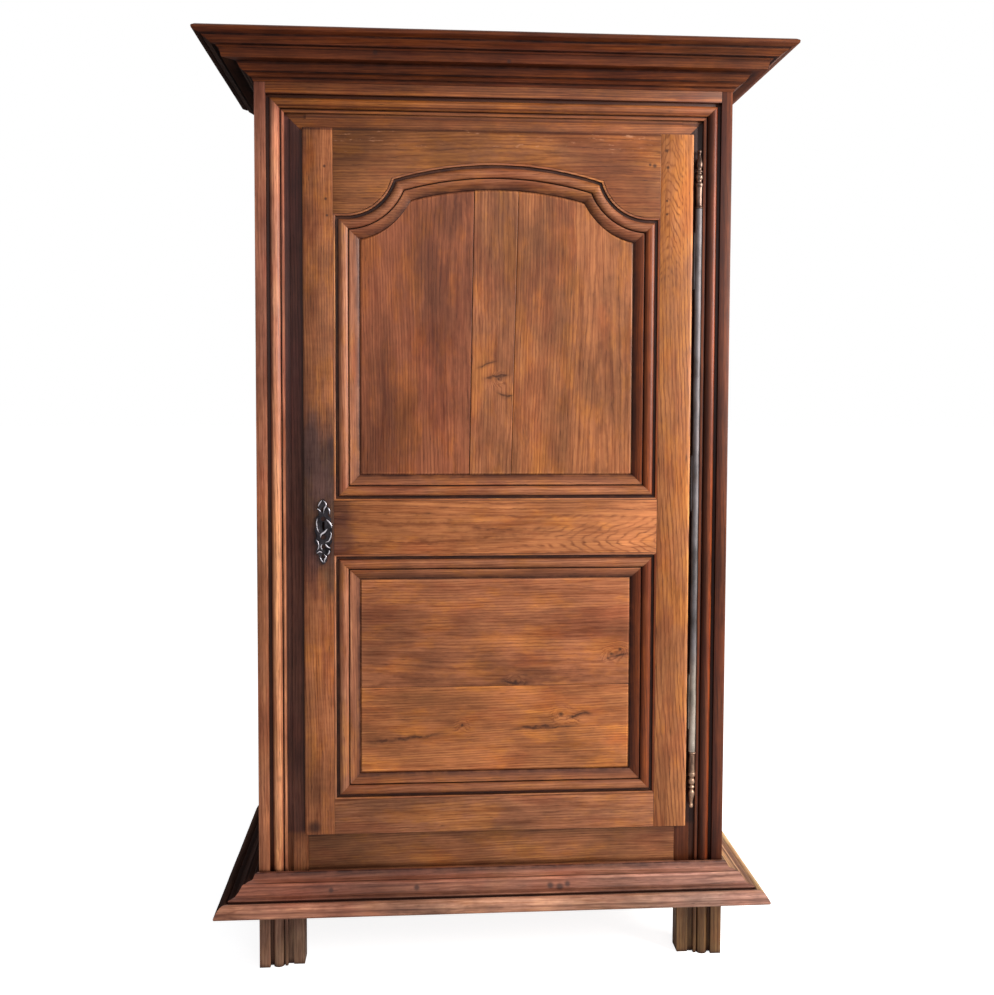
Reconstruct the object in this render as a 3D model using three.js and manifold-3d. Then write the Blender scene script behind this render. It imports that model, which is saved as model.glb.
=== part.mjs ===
// One-door French cupboard in moulded oak, with an arched upper panel and a full-height barrel hinge.
// Millimetres, +Z up, the front faces -Y, and the origin is on the floor under the middle of the cornice.
import * as THREE from 'three';
import { mergeVertices } from 'three/addons/utils/BufferGeometryUtils.js';
import Module from 'manifold-3d';

// Overall sizes
const height = 1950;
const bodyWidth = 1004;
const bodyDepth = 417;
const corniceProjection = 103;
const corniceHeight = 78;
const baseProjection = 80.5;
const baseHeight = 60;
const baseLedgeDrop = 3;
const footHeight = 151;
const topBoardThickness = 18;

// Fits
const clearance = 0.3;
const runningClearance = 0.08;
const leafClearance = 0.6;
const overrun = 5;

// Front posts and the moulding that runs round the front
const postDepth = 45;
const footWidth = 95;
const flatWidth = 23;
const grooveWidth = 6;
const torusWidth = 23;
const torusHeight = 9;
const quirkWidth = 2;
const filletWidth = 6;
const filletDepth = 5;
const channelWidth = 11;
const channelDepth = 13;
const channelSlope = 1;
const recessDepth = 10;
const landWidth = 33;
const mitredLayer = 16;
const torusFacets = 8;

// Rear posts, rails and boards of the carcase
const rearPostWidth = 60;
const rearPostDepth = 45;
const railThickness = 25;
const railReveal = 3;
const topRailHeight = 100;
const middleRailHeight = 90;
const middleRailShare = 0.463;
const bottomRailHeight = 120;
const frontBottomRailHeight = 149;
const frontTopRailHeight = 162;
const frontRailThickness = 24;
const panelThickness = 8;
const panelGrip = 8;
const grooveSpare = 2;
const boardThickness = 18;
const floorRise = 80;
const shelfCount = 2;
const cleatHeight = 25;
const cleatThickness = 22;

// Tenons of the carcase and of the door
const tenonLength = 30;
const tenonThickness = 9;
const tenonShoulder = 12;
const frontTenonSetback = 18;
const doorTenonLength = 40;
const doorTenonThickness = 10;
const doorTenonSetback = 13;
const doorTenonShoulder = 16;

// Door leaf
const lockLap = 6;
const endLap = 9.5;
const tongueGap = 10;
const tongueEndGap = 7.5;
const doorProud = 15;
const doorThickness = 33;
const lipGap = 0.3;
const lockStileWidth = 63;
const hingeStileWidth = 71;
const doorBottomRailHeight = 74.5;
const doorMiddleRailRise = 601;
const doorMiddleRailHeight = 113;
const edgeRound = 4;
const edgeFacets = 3;

// Moulded frames round the door panels, and the arch of the upper one
const frameWidth = 54;
const frameBackLip = 2.9;
const frameFlatWidth = 8;
const frameQuirkWidth = 2.5;
const frameQuirkDepth = 4;
const frameTorusWidth = 21;
const frameTorusRise = 6;
const frameSeatDepth = 2;
const frameStepWidth = 2;
const frameFilletWidth = 5.5;
const frameFilletDepth = 1;
const frameLipThickness = 2.5;
const frameTongueLength = 7;
const frameTongueThickness = 6;
const frameTongueDepth = 10;
const frameTorusFacets = 8;
const frameSlopeFacets = 3;
const doorPanelDepth = 8.3;
const doorPanelThickness = 8.5;
const doorPanelGrip = 8;
const archShoulderDrop = 175;
const archCrownRise = 109.2;
const archShoulderFlat = 25;
const archShoulderRadius = 100;
const archRadiusShare = 2.18;
const shoulderFacets = 5;
const shoulderLeadShare = 0.3;
const archFacets = 16;

// Barrel hinge
const hingeRadius = 7;
const hingePinRadius = 3.2;
const hingeDoorGap = 13.5;
const hingeRingRadius = 7.7;
const hingeFilletGap = 2.5;
const hingeLowerRise = 162;
const hingeUpperDrop = 154.2;
const hingeEndLength = 125;
const hingePinGrip = 40;
const hingeLeafThickness = 2.5;
const hingeLeafDepth = 24;
const hingeLeafLength = 60;
const hingeLeafBite = 1.5;
const hingeWingLength = 120;
const hingeWingCount = 3;
const hingeWingInset = 50;
const hingeSides = 24;

// Lock, keeper and keyhole plate
const lockRise = 55;
const lockCaseWidth = 70;
const lockCaseHeight = 80;
const lockCaseThickness = 18;
const lockCaseInset = 16;
const boltLength = 42;
const boltHeight = 20;
const boltThickness = 8;
const boltSetback = 5;
const boltEndInset = 1;
const boltThrow = 14;
const keeperThickness = 2;
const keeperHeight = 50;
const keeperWidth = 14;
const keyholeWidth = 5;
const keyholeHeight = 17;
const keyholeRise = 6;
const plateHeight = 138;
const plateWidth = 37;
const plateThickness = 2.5;
const plateDrop = 6.7;
const plateFacets = 8;
const keyholeShare = 0.66;

// Looks of the materials
const oak = { color: 0x7a4526, roughness: 0.5, metalness: 0 };
const oakPanel = { color: 0x86502c, roughness: 0.5, metalness: 0 };
const oakInside = { color: 0x8a6844, roughness: 0.8, metalness: 0 };
const iron = { color: 0x2b2826, roughness: 0.45, metalness: 0.9 };
const steel = { color: 0x8f8b84, roughness: 0.4, metalness: 1 };

// Distances of the front moulding's edges from the outer edge of the body
const torusStart = flatWidth + grooveWidth;
const torusEnd = torusStart + torusWidth;
const filletStart = torusEnd + quirkWidth;
const channelStart = filletStart + filletWidth;
const recessStart = channelStart + channelWidth;
const postWidth = recessStart + landWidth;

// Places in the carcase that follow from the sizes
const halfBody = bodyWidth / 2;
const rearFace = (bodyDepth + corniceProjection) / 2;
const frontFace = rearFace - bodyDepth;
const bodyTop = height - topBoardThickness;
const corniceBottom = height - corniceHeight;
const recessFace = frontFace + recessDepth;
const frontPostBack = frontFace + postDepth;
const rearPostFront = rearFace - rearPostDepth;
const postInner = halfBody - postWidth;
const sideRailOuter = halfBody - railReveal;
const sideRailInner = sideRailOuter - railThickness;
const sideRailMiddle = (sideRailOuter + sideRailInner) / 2;
const rearRailBack = rearFace - railReveal;
const rearRailFront = rearRailBack - railThickness;
const rearRailMiddle = (rearRailBack + rearRailFront) / 2;
const rearPostInner = halfBody - rearPostWidth;
const frontBottomRailTop = footHeight + frontBottomRailHeight;
const frontTopRailBottom = bodyTop - frontTopRailHeight;
const bottomRailTop = footHeight + bottomRailHeight;
const topRailBottom = bodyTop - topRailHeight;
const sidePanelSpan = topRailBottom - bottomRailTop;
const middleRailBottom = bottomRailTop + sidePanelSpan * middleRailShare - middleRailHeight / 2;
const middleRailTop = middleRailBottom + middleRailHeight;
const floorLevel = footHeight + floorRise;
const grooveEnd = panelGrip + grooveSpare;

// Places in the door and its hinge that follow from the carcase
const hingeX = halfBody - channelStart - hingeFilletGap - hingeRadius;
const hingeY = recessFace - hingeRingRadius - clearance;
const doorLeft = -postInner - lockLap;
const doorRight = hingeX - hingeDoorGap;
const lockLipWidth = lockLap + tongueGap;
const hingeLipWidth = doorRight - postInner + tongueGap;
const doorBottom = frontBottomRailTop - endLap;
const doorTop = frontTopRailBottom + endLap;
const lipHeight = endLap + tongueEndGap;
const doorFace = recessFace - doorProud;
const doorLipBack = recessFace - lipGap;
const doorBack = doorFace + doorThickness;
const stileLeftInner = doorLeft + lockStileWidth;
const stileRightInner = doorRight - hingeStileWidth;
const panelMiddle = (stileLeftInner + stileRightInner) / 2;
const panelHalf = (stileRightInner - stileLeftInner) / 2;
const doorBottomRailTop = doorBottom + doorBottomRailHeight;
const doorMiddleRailBottom = doorBottom + doorMiddleRailRise;
const doorMiddleRailTop = doorMiddleRailBottom + doorMiddleRailHeight;
const frameThickness = doorPanelDepth + doorPanelThickness + clearance + frameBackLip;
const archShoulderHeight = doorTop - archShoulderDrop;
const archCrownHeight = archShoulderHeight + archCrownRise;
const archRadius = panelHalf * archRadiusShare;
const hingeLowerJoint = doorBottom + hingeLowerRise;
const hingeUpperJoint = doorTop - hingeUpperDrop;
const lockHeight = doorMiddleRailBottom + lockRise;

const wasm = await Module();
wasm.setup();

const group = new THREE.Group();

// Shape helpers: a geometry becomes a closed solid, and a solid becomes a named mesh
function enclosedVolume(position, index) {
  const corners = [new THREE.Vector3(), new THREE.Vector3(), new THREE.Vector3()];
  let sum = 0;
  for (let i = 0; i < index.length; i += 3) {
    corners.forEach((corner, k) => corner.fromBufferAttribute(position, index[i + k]));
    sum += corners[0].dot(corners[1].cross(corners[2]));
  }
  return sum;
}

function toSolid(geometry) {
  geometry.deleteAttribute('normal');
  geometry.deleteAttribute('uv');
  const merged = mergeVertices(geometry);
  const index = Uint32Array.from(merged.index.array);
  if (enclosedVolume(merged.attributes.position, index) < 0) {
    index.reverse();
  }
  const vertProperties = Float32Array.from(merged.attributes.position.array);
  return new wasm.Manifold(new wasm.Mesh({ numProp: 3, vertProperties, triVerts: index }));
}

function addPiece(name, solid, look) {
  const mesh = solid.getMesh();
  const geometry = new THREE.BufferGeometry();
  geometry.setAttribute('position', new THREE.BufferAttribute(mesh.vertProperties, 3));
  geometry.setIndex(new THREE.BufferAttribute(mesh.triVerts, 1));
  geometry.computeVertexNormals();
  const piece = new THREE.Mesh(geometry, new THREE.MeshStandardMaterial(look));
  piece.name = name;
  group.add(piece);
}

function block(xs, ys, zs) {
  const [x, y, z] = [xs, ys, zs].map((pair) => [Math.min(...pair), Math.max(...pair)]);
  const geometry = new THREE.BoxGeometry(x[1] - x[0], y[1] - y[0], z[1] - z[0]);
  geometry.translate((x[0] + x[1]) / 2, (y[0] + y[1]) / 2, (z[0] + z[1]) / 2);
  return toSolid(geometry);
}

// An outline carried through numbered stations; place says where each outline point lies at a station
function carried(outline, stations, place, holes = []) {
  const shape = new THREE.Shape(outline.map(([a, b]) => new THREE.Vector2(a, b)));
  shape.holes = holes.map((hole) => new THREE.Path(hole.map(([a, b]) => new THREE.Vector2(a, b))));
  const settings = { depth: stations, steps: stations, bevelEnabled: false };
  const geometry = new THREE.ExtrudeGeometry(shape, settings);
  const position = geometry.attributes.position;
  for (let i = 0; i < position.count; i += 1) {
    const station = Math.round(position.getZ(i));
    position.setXYZ(i, ...place(position.getX(i), position.getY(i), station));
  }
  return toSolid(geometry);
}

// A board seen from the front: an outline in X and Z, between two depths
function boardShape(outline, ys, holes = []) {
  return carried(outline, 1, (x, z, station) => [x, ys[station], z], holes);
}

function turned(profile, x, y) {
  const points = profile.map(([radius, z]) => new THREE.Vector2(radius, z));
  const geometry = new THREE.LatheGeometry(points, hingeSides);
  geometry.rotateX(Math.PI / 2);
  geometry.translate(x, y, 0);
  return toSolid(geometry);
}

function grown(pair, by) {
  return [Math.min(...pair) - by, Math.max(...pair) + by];
}

function halfRound(start, width, low, rise, facets) {
  const points = [];
  for (let i = 0; i <= facets; i += 1) {
    const angle = (Math.PI * i) / facets;
    points.push([start + (width / 2) * (1 - Math.cos(angle)), low - rise * Math.sin(angle)]);
  }
  return points;
}

// Heights of the rails that frame the sides and the back, and of the two front rails
const frameRails = [
  [footHeight, bottomRailTop],
  [middleRailBottom, middleRailTop],
  [topRailBottom, bodyTop],
];
const frontRails = [
  [footHeight, frontBottomRailTop],
  [frontTopRailBottom, bodyTop],
];
const frontTenonYs = [frontFace + frontTenonSetback, frontFace + frontTenonSetback + tenonThickness];

// Front moulding: distance from the outer edge, and depth behind the front face
function frontMoulding(lastDistance) {
  return [
    [0, 0],
    [flatWidth, 0],
    [flatWidth, torusHeight],
    ...halfRound(torusStart, torusWidth, torusHeight, torusHeight, torusFacets),
    [filletStart, torusHeight],
    [filletStart, filletDepth],
    [channelStart, filletDepth],
    [channelStart, channelDepth],
    [recessStart, channelDepth],
    [recessStart + channelSlope, recessDepth],
    [lastDistance, recessDepth],
  ];
}

// Panel groove and tenon mortises in the face of a post that the side frame meets
function sideJoints(side, seat, inward) {
  const tenonXs = tenonSpan(sideRailMiddle).map((x) => side * x);
  const tenonYs = [seat - inward * overrun, seat + inward * (tenonLength + clearance)];
  const cutters = frameRails.map((rail) =>
    block(grown(tenonXs, clearance), tenonYs, grown(tenonHeights(rail, tenonShoulder), clearance)));
  const panelXs = panelSpan(sideRailMiddle).map((x) => side * x);
  cutters.push(block(grown(panelXs, clearance), [seat - inward * overrun, seat + inward * grooveEnd],
    grown([bottomRailTop, topRailBottom], grooveEnd)));
  return cutters;
}

function tenonSpan(middle) {
  return [middle - tenonThickness / 2, middle + tenonThickness / 2];
}

function panelSpan(middle) {
  return [middle - panelThickness / 2, middle + panelThickness / 2];
}

function tenonHeights(rail, shoulder) {
  return [rail[0] + shoulder, rail[1] - shoulder];
}

function cutAll(solid, cutters) {
  return cutters.reduce((rest, cutter) => rest.subtract(cutter), solid);
}

function joinAll(solids) {
  return solids.reduce((sum, solid) => sum.add(solid));
}

// The corner of a front post that the mitred end of the top rail fills
function mitrePocket(side) {
  const lowest = frontTopRailBottom - clearance;
  const outline = [
    [flatWidth - clearance, bodyTop + overrun],
    [flatWidth - clearance, mitreLevel(flatWidth)],
    [mitreDistance(lowest) - clearance, lowest],
    [postWidth + overrun, lowest],
    [postWidth + overrun, bodyTop + overrun],
  ];
  const ys = [frontFace - overrun, frontFace + mitredLayer + clearance];
  return carried(outline, 1, (distance, z, station) => [side * (halfBody - distance), ys[station], z]);
}

function mitreLevel(distance) {
  return corniceBottom - distance;
}

function mitreDistance(level) {
  return corniceBottom - level;
}

function frontPost(side, fittings) {
  const section = [...frontMoulding(postWidth), [postWidth, postDepth], [0, postDepth]];
  const levels = [0, bodyTop];
  const whole = carried(section, 1, (distance, depth, station) =>
    [side * (halfBody - distance), frontFace + depth, levels[station]]);
  const inner = side * postInner;
  const cutters = [...fittings, mitrePocket(side), ...sideJoints(side, frontPostBack, -1)];
  cutters.push(block([side * (halfBody - footWidth), inner - side * overrun],
    [frontFace - overrun, frontPostBack + overrun], [-overrun, footHeight]));
  for (const rail of frontRails) {
    cutters.push(block([inner - side * overrun, inner + side * (tenonLength + clearance)],
      grown(frontTenonYs, clearance), grown(tenonHeights(rail, tenonShoulder), clearance)));
  }
  return cutAll(whole, cutters);
}

function rearPost(side) {
  const inner = side * rearPostInner;
  const whole = block([inner, side * halfBody], [rearPostFront, rearFace], [0, bodyTop]);
  const cutters = sideJoints(side, rearPostFront, 1);
  for (const rail of frameRails) {
    cutters.push(block([inner - side * overrun, inner + side * (tenonLength + clearance)],
      grown(tenonSpan(rearRailMiddle), clearance), grown(tenonHeights(rail, tenonShoulder), clearance)));
  }
  cutters.push(block([inner - side * overrun, inner + side * grooveEnd],
    grown(panelSpan(rearRailMiddle), clearance), grown([bottomRailTop, topRailBottom], grooveEnd)));
  return cutAll(whole, cutters);
}

function rearRail(rail) {
  const shoulders = [-rearPostInner + clearance, rearPostInner - clearance];
  const body = block(shoulders, [rearRailFront, rearRailBack], rail);
  const tenon = block(grown(shoulders, tenonLength - clearance), tenonSpan(rearRailMiddle),
    tenonHeights(rail, tenonShoulder));
  return cutAll(body.add(tenon), railGrooves(rail, (zs) =>
    block([-rearPostInner, rearPostInner], grown(panelSpan(rearRailMiddle), clearance), zs)));
}

// Grooves along a rail's edges where a panel is held
function railGrooves(rail, cutter) {
  const cutters = [];
  if (rail[1] < bodyTop) {
    cutters.push(cutter([rail[1] - grooveEnd, rail[1] + overrun]));
  }
  if (rail[0] > footHeight) {
    cutters.push(cutter([rail[0] - overrun, rail[0] + grooveEnd]));
  }
  return cutters;
}

function sideRail(side, rail) {
  const shoulders = [frontPostBack + clearance, rearPostFront - clearance];
  const body = block([side * sideRailInner, side * sideRailOuter], shoulders, rail);
  const tenonXs = tenonSpan(sideRailMiddle).map((x) => side * x);
  const tenon = block(tenonXs, grown(shoulders, tenonLength - clearance), tenonHeights(rail, tenonShoulder));
  const panelXs = panelSpan(sideRailMiddle).map((x) => side * x);
  return cutAll(body.add(tenon), railGrooves(rail, (zs) =>
    block(grown(panelXs, clearance), [frontPostBack, rearPostFront], zs)));
}

// Moulded top rail: a mitred moulded layer in front of a plain tenoned rail
function frontTopRail() {
  const bottomDistance = mitreDistance(frontTopRailBottom);
  const topDistance = mitreDistance(bodyTop);
  const front = frontMoulding(bottomDistance).slice(1);
  const section = [
    [topDistance, 0],
    ...front,
    [bottomDistance, mitredLayer],
    [flatWidth, mitredLayer],
    [topDistance, mitredLayer],
  ];
  const ends = [-1, 1];
  const layer = carried(section, 1, (distance, depth, station) =>
    [ends[station] * (halfBody - Math.max(distance, flatWidth)), frontFace + depth, mitreLevel(distance)]);
  const shoulders = [-postInner + clearance, postInner - clearance];
  const seat = frontFace + mitredLayer;
  const body = block(shoulders, [seat - overrun, seat + frontRailThickness], frontRails[1]);
  const tenon = block(grown(shoulders, tenonLength - clearance), frontTenonYs,
    tenonHeights(frontRails[1], tenonShoulder));
  return joinAll([layer, body, tenon]);
}

function frontBottomRail() {
  const shoulders = [-postInner + clearance, postInner - clearance];
  const back = recessFace + frontRailThickness;
  const body = block(shoulders, [recessFace, back], frontRails[0]);
  const ledge = block(shoulders, [frontFace, back], [footHeight, footHeight + baseHeight - baseLedgeDrop]);
  const tenon = block(grown(shoulders, tenonLength - clearance), frontTenonYs,
    tenonHeights(frontRails[0], tenonShoulder));
  return joinAll([body, ledge, tenon]);
}

function sidePanel(side, zs) {
  const ys = grown([frontPostBack, rearPostFront], panelGrip);
  return block(panelSpan(sideRailMiddle).map((x) => side * x), ys, grown(zs, panelGrip));
}

function backPanel(zs) {
  const xs = grown([-rearPostInner, rearPostInner], panelGrip);
  return block(xs, panelSpan(rearRailMiddle), grown(zs, panelGrip));
}

// A board inside the carcase, notched round the four posts
function insideBoard(bottom, front) {
  const zs = [bottom, bottom + boardThickness];
  const across = sideRailInner - clearance;
  const whole = block([-across, across], [front, rearRailFront - clearance], zs);
  const cutters = [];
  for (const side of [-1, 1]) {
    cutters.push(block([side * (postInner - clearance), side * (halfBody + overrun)],
      [frontFace, frontPostBack + clearance], grown(zs, overrun)));
    cutters.push(block([side * (rearPostInner - clearance), side * (halfBody + overrun)],
      [rearPostFront - clearance, rearFace], grown(zs, overrun)));
  }
  return cutAll(whole, cutters);
}

function floorBoard() {
  return insideBoard(floorLevel, recessFace + frontRailThickness + clearance);
}

function shelfLevel(number) {
  const lowest = floorLevel + boardThickness;
  return lowest + ((topRailBottom - lowest) * number) / (shelfCount + 1);
}

function shelfCleat(side, shelf) {
  const top = shelf - clearance;
  return block([side * (sideRailInner - clearance), side * (sideRailInner - clearance - cleatThickness)],
    [frontPostBack + clearance, rearPostFront - clearance], [top - cleatHeight, top]);
}

function topBoard() {
  return block([-halfBody, halfBody], [frontFace, rearFace], [bodyTop + clearance, height]);
}

// Cornice and base: shares of the projection and of the height, from the top to the bottom
const corniceShares = [
  [0.932, 1],
  [1, 0.92],
  [0.985, 0.86],
  [0.851, 0.79],
  [0.694, 0.637],
  [0.567, 0.637],
  [0.533, 0.385],
  [0.27, 0.385],
  [0.251, 0.269],
  [0.19, 0.2],
  [0.109, 0.154],
  [0.04, 0.09],
  [0.01, 0],
];
const baseShares = [
  [0.087, 1],
  [0.149, 0.817],
  [0.33, 0.817],
  [0.391, 0.75],
  [0.447, 0.617],
  [0.54, 0.483],
  [0.683, 0.483],
  [0.65, 0.317],
  [0.807, 0.392],
  [0.9, 0.3],
  [0.96, 0.19],
  [1, 0.083],
  [0.981, 0],
];

function crownSection(shares, projection, bottom, tall) {
  const line = shares.map(([out, up]) => [out * projection, bottom + up * tall]);
  return [[clearance, line[0][1]], ...line, [clearance, line.at(-1)[1]]];
}

function frontRun(section) {
  const ends = [-1, 1];
  return carried(section, 1, (out, z, station) =>
    [ends[station] * (halfBody + out - clearance / 2), frontFace - out, z]);
}

function sideRun(side, section) {
  return carried(section, 1, (out, z, station) =>
    [side * (halfBody + out), [frontFace - out + clearance / 2, rearFace][station], z]);
}

const corniceSection = crownSection(corniceShares, corniceProjection, corniceBottom, corniceHeight);
const baseSection = crownSection(baseShares, baseProjection, footHeight, baseHeight);

// Door leaf: the front layer laps over the carcase and the back layer enters the opening
const lipYs = [doorFace, doorLipBack];
const doorTenonYs = [doorFace + doorTenonSetback, doorFace + doorTenonSetback + doorTenonThickness];

function stileSection(inner, lipWidth) {
  const line = [];
  for (let i = 0; i <= edgeFacets; i += 1) {
    const angle = (Math.PI / 2) * (i / edgeFacets);
    line.push([edgeRound * (1 - Math.sin(angle)), edgeRound * (1 - Math.cos(angle))]);
  }
  const lipBack = doorProud - lipGap;
  return [
    ...line.reverse(),
    [inner, 0],
    [inner, doorThickness],
    [lipWidth, doorThickness],
    [lipWidth, lipBack],
    [0, lipBack],
  ];
}

function doorStile(side, width, lipWidth, slots) {
  const edge = side < 0 ? doorLeft : doorRight;
  const levels = [doorBottom, doorTop];
  const whole = carried(stileSection(width, lipWidth), 1, (inward, depth, station) =>
    [edge - side * inward, doorFace + depth, levels[station]]);
  const cutters = [...slots];
  const ends = [[doorBottom - overrun, doorBottom + lipHeight], [doorTop - lipHeight, doorTop + overrun]];
  for (const zs of ends) {
    cutters.push(block([doorLeft - overrun, doorRight + overrun], [doorLipBack, doorBack + overrun], zs));
  }
  const inner = edge - side * width;
  for (const rail of doorRails) {
    cutters.push(block([inner - side * overrun, inner + side * (doorTenonLength + clearance)],
      grown(doorTenonYs, clearance), grown(tenonHeights(rail, doorTenonShoulder), clearance)));
  }
  for (const zs of [upperSideLevels, lowerSideLevels]) {
    cutters.push(block([inner - side * overrun, inner + side * (frameTongueLength + clearance)],
      grown(frameTongueYs, clearance), grown(zs, frameTongueLength + clearance)));
  }
  return cutAll(whole, cutters);
}

const doorRails = [
  [doorBottom, doorBottomRailTop],
  [doorMiddleRailBottom, doorMiddleRailTop],
  [archShoulderHeight, doorTop],
];
const upperSideLevels = [doorMiddleRailTop, archShoulderHeight];
const lowerSideLevels = [doorBottomRailTop, doorMiddleRailBottom];
const frameTongueYs = [doorFace + frameTongueDepth, doorFace + frameTongueDepth + frameTongueThickness];

function doorTenons(rail) {
  const zs = tenonHeights(rail, doorTenonShoulder);
  const reach = doorTenonLength - clearance;
  return joinAll([
    block([stileLeftInner - reach, stileLeftInner + overrun], doorTenonYs, zs),
    block([stileRightInner - overrun, stileRightInner + reach], doorTenonYs, zs),
  ]);
}

function tongueGroove(zs) {
  return block([stileLeftInner - overrun, stileRightInner + overrun], grown(frameTongueYs, clearance), zs);
}

function doorBottomRail() {
  const xs = [stileLeftInner + clearance, stileRightInner - clearance];
  const front = block(xs, [doorFace, doorBack], [doorBottom + lipHeight, doorBottomRailTop]);
  const lip = block(xs, lipYs, [doorBottom, doorBottomRailTop]);
  const reach = frameTongueLength + clearance;
  const groove = tongueGroove([doorBottomRailTop - reach, doorBottomRailTop + overrun]);
  return joinAll([front, lip]).subtract(groove).add(doorTenons(doorRails[0]));
}

function doorMiddleRail() {
  const xs = [stileLeftInner + clearance, stileRightInner - clearance];
  const body = block(xs, [doorFace, doorBack], doorRails[1]);
  const reach = frameTongueLength + clearance;
  const upper = tongueGroove([doorMiddleRailTop - reach, doorMiddleRailTop + overrun]);
  const lower = tongueGroove([doorMiddleRailBottom - overrun, doorMiddleRailBottom + reach]);
  return cutAll(body, [upper, lower]).add(doorTenons(doorRails[1]));
}

// Arched line: the shoulders and the crown at a distance inside the opening of the door's frame
const shoulderCentre = [panelHalf - archShoulderFlat, archShoulderHeight + archShoulderRadius];
const archCentreHeight = archCrownHeight - archRadius;

function notchPoint(inset) {
  const [centreX, centreZ] = shoulderCentre;
  const radius = archShoulderRadius + inset;
  const crownRadius = archRadius - inset;
  const apart = Math.hypot(centreX, centreZ - archCentreHeight);
  const along = (radius ** 2 - crownRadius ** 2 + apart ** 2) / (2 * apart);
  const across = Math.sqrt(radius ** 2 - along ** 2);
  const unit = [-centreX / apart, (archCentreHeight - centreZ) / apart];
  return [centreX + along * unit[0] + across * unit[1], centreZ + along * unit[1] - across * unit[0]];
}

function shoulderAngles(inset) {
  const radius = archShoulderRadius + inset;
  const start = Math.asin(Math.max(0, inset - archShoulderFlat) / radius);
  const [x, z] = notchPoint(inset);
  return [start, Math.atan2(shoulderCentre[0] - x, shoulderCentre[1] - z)];
}

function cornerLevel(inset) {
  const radius = archShoulderRadius + inset;
  const past = Math.max(0, inset - archShoulderFlat);
  return shoulderCentre[1] - Math.sqrt(radius ** 2 - past ** 2);
}

function archStation(inset, station) {
  const last = archFacets / 2 + shoulderFacets + 1;
  const side = station < last ? -1 : 1;
  const step = last - Math.abs(station - last);
  if (step === 0) {
    return [side * (panelHalf - inset), cornerLevel(inset)];
  }
  if (step <= shoulderFacets) {
    const [start, end] = shoulderAngles(inset);
    const share = (step - 1 + shoulderLeadShare) / (shoulderFacets + shoulderLeadShare);
    const angle = start + (end - start) * share;
    const radius = archShoulderRadius + inset;
    const [centreX, centreZ] = shoulderCentre;
    return [side * (centreX - radius * Math.sin(angle)), centreZ - radius * Math.cos(angle)];
  }
  const [notchX] = notchPoint(inset);
  const share = (last - step) / (last - shoulderFacets - 1);
  const crownRadius = archRadius - inset;
  const angle = Math.asin(notchX / crownRadius) * share;
  return [side * crownRadius * Math.sin(angle), archCentreHeight + crownRadius * Math.cos(angle)];
}

const archStations = archFacets + 2 * (shoulderFacets + 1);

function archLine(inset) {
  const line = [];
  for (let station = 0; station <= archStations; station += 1) {
    const [x, z] = archStation(inset, station);
    line.push([panelMiddle + x, z]);
  }
  return line;
}

function doorTopRail() {
  const xs = [stileLeftInner + clearance, stileRightInner - clearance];
  const arch = archLine(0).slice(1, -1);
  const lower = [[xs[0], archShoulderHeight], ...arch, [xs[1], archShoulderHeight]];
  const lip = boardShape([...lower, [xs[1], doorTop], [xs[0], doorTop]], lipYs);
  const tongueTop = doorTop - lipHeight;
  const backYs = [doorFace + edgeRound, doorBack];
  const back = boardShape([...lower, [xs[1], tongueTop], [xs[0], tongueTop]], backYs);
  const reach = frameTongueLength + clearance;
  const groove = [
    [-reach, frameTongueDepth - clearance],
    [overrun, frameTongueDepth - clearance],
    [overrun, frameTongueDepth + frameTongueThickness + clearance],
    [-reach, frameTongueDepth + frameTongueThickness + clearance],
  ];
  return joinAll([lip, back]).subtract(archedRun(groove)).add(doorTenons(doorRails[2]));
}

// Moulded frame section: distance inside the opening, and depth behind the door's face
function frameSection() {
  const torusFrom = frameFlatWidth + frameQuirkWidth;
  const torusTo = torusFrom + frameTorusWidth;
  const filletFrom = torusTo + frameStepWidth;
  const filletTo = filletFrom + frameFilletWidth;
  const lipDepth = doorPanelDepth - clearance;
  const slope = [];
  for (let i = 1; i < frameSlopeFacets; i += 1) {
    const share = i / frameSlopeFacets;
    const fall = (lipDepth - frameLipThickness - frameFilletDepth) * Math.sin((Math.PI / 2) * share);
    slope.push([filletTo + (frameWidth - filletTo) * share, frameFilletDepth + fall]);
  }
  const slotInner = frameWidth - doorPanelGrip - clearance;
  const slotBack = doorPanelDepth + doorPanelThickness + clearance;
  return [
    [clearance, 0],
    [frameFlatWidth, 0],
    [frameFlatWidth, frameQuirkDepth],
    [torusFrom, frameQuirkDepth],
    ...halfRound(torusFrom, frameTorusWidth, frameSeatDepth, frameTorusRise, frameTorusFacets),
    [torusTo, frameQuirkDepth],
    [filletFrom, frameQuirkDepth],
    [filletFrom, frameFilletDepth],
    [filletTo, frameFilletDepth],
    ...slope,
    [frameWidth, lipDepth - frameLipThickness],
    [frameWidth, lipDepth],
    [slotInner, lipDepth],
    [slotInner, slotBack],
    [frameWidth, slotBack],
    [frameWidth, frameThickness],
    [clearance, frameThickness],
    [clearance, frameTongueDepth + frameTongueThickness],
    [-frameTongueLength, frameTongueDepth + frameTongueThickness],
    [-frameTongueLength, frameTongueDepth],
    [clearance, frameTongueDepth],
  ];
}

function archedRun(section) {
  return carried(section, archStations, (inset, depth, station) => {
    const [x, z] = archStation(inset, station);
    return [panelMiddle + x, doorFace + depth, z];
  });
}

function uprightRun(side, section, bottom, topOf) {
  return carried(section, 1, (inset, depth, station) =>
    [panelMiddle + side * (panelHalf - inset), doorFace + depth,
      station === 0 ? bottom + inset + clearance : topOf(inset) - clearance]);
}

function levelRun(section, level, up) {
  const ends = [-1, 1];
  return carried(section, 1, (inset, depth, station) =>
    [panelMiddle + ends[station] * (panelHalf - inset), doorFace + depth, level + up * inset]);
}

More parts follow.
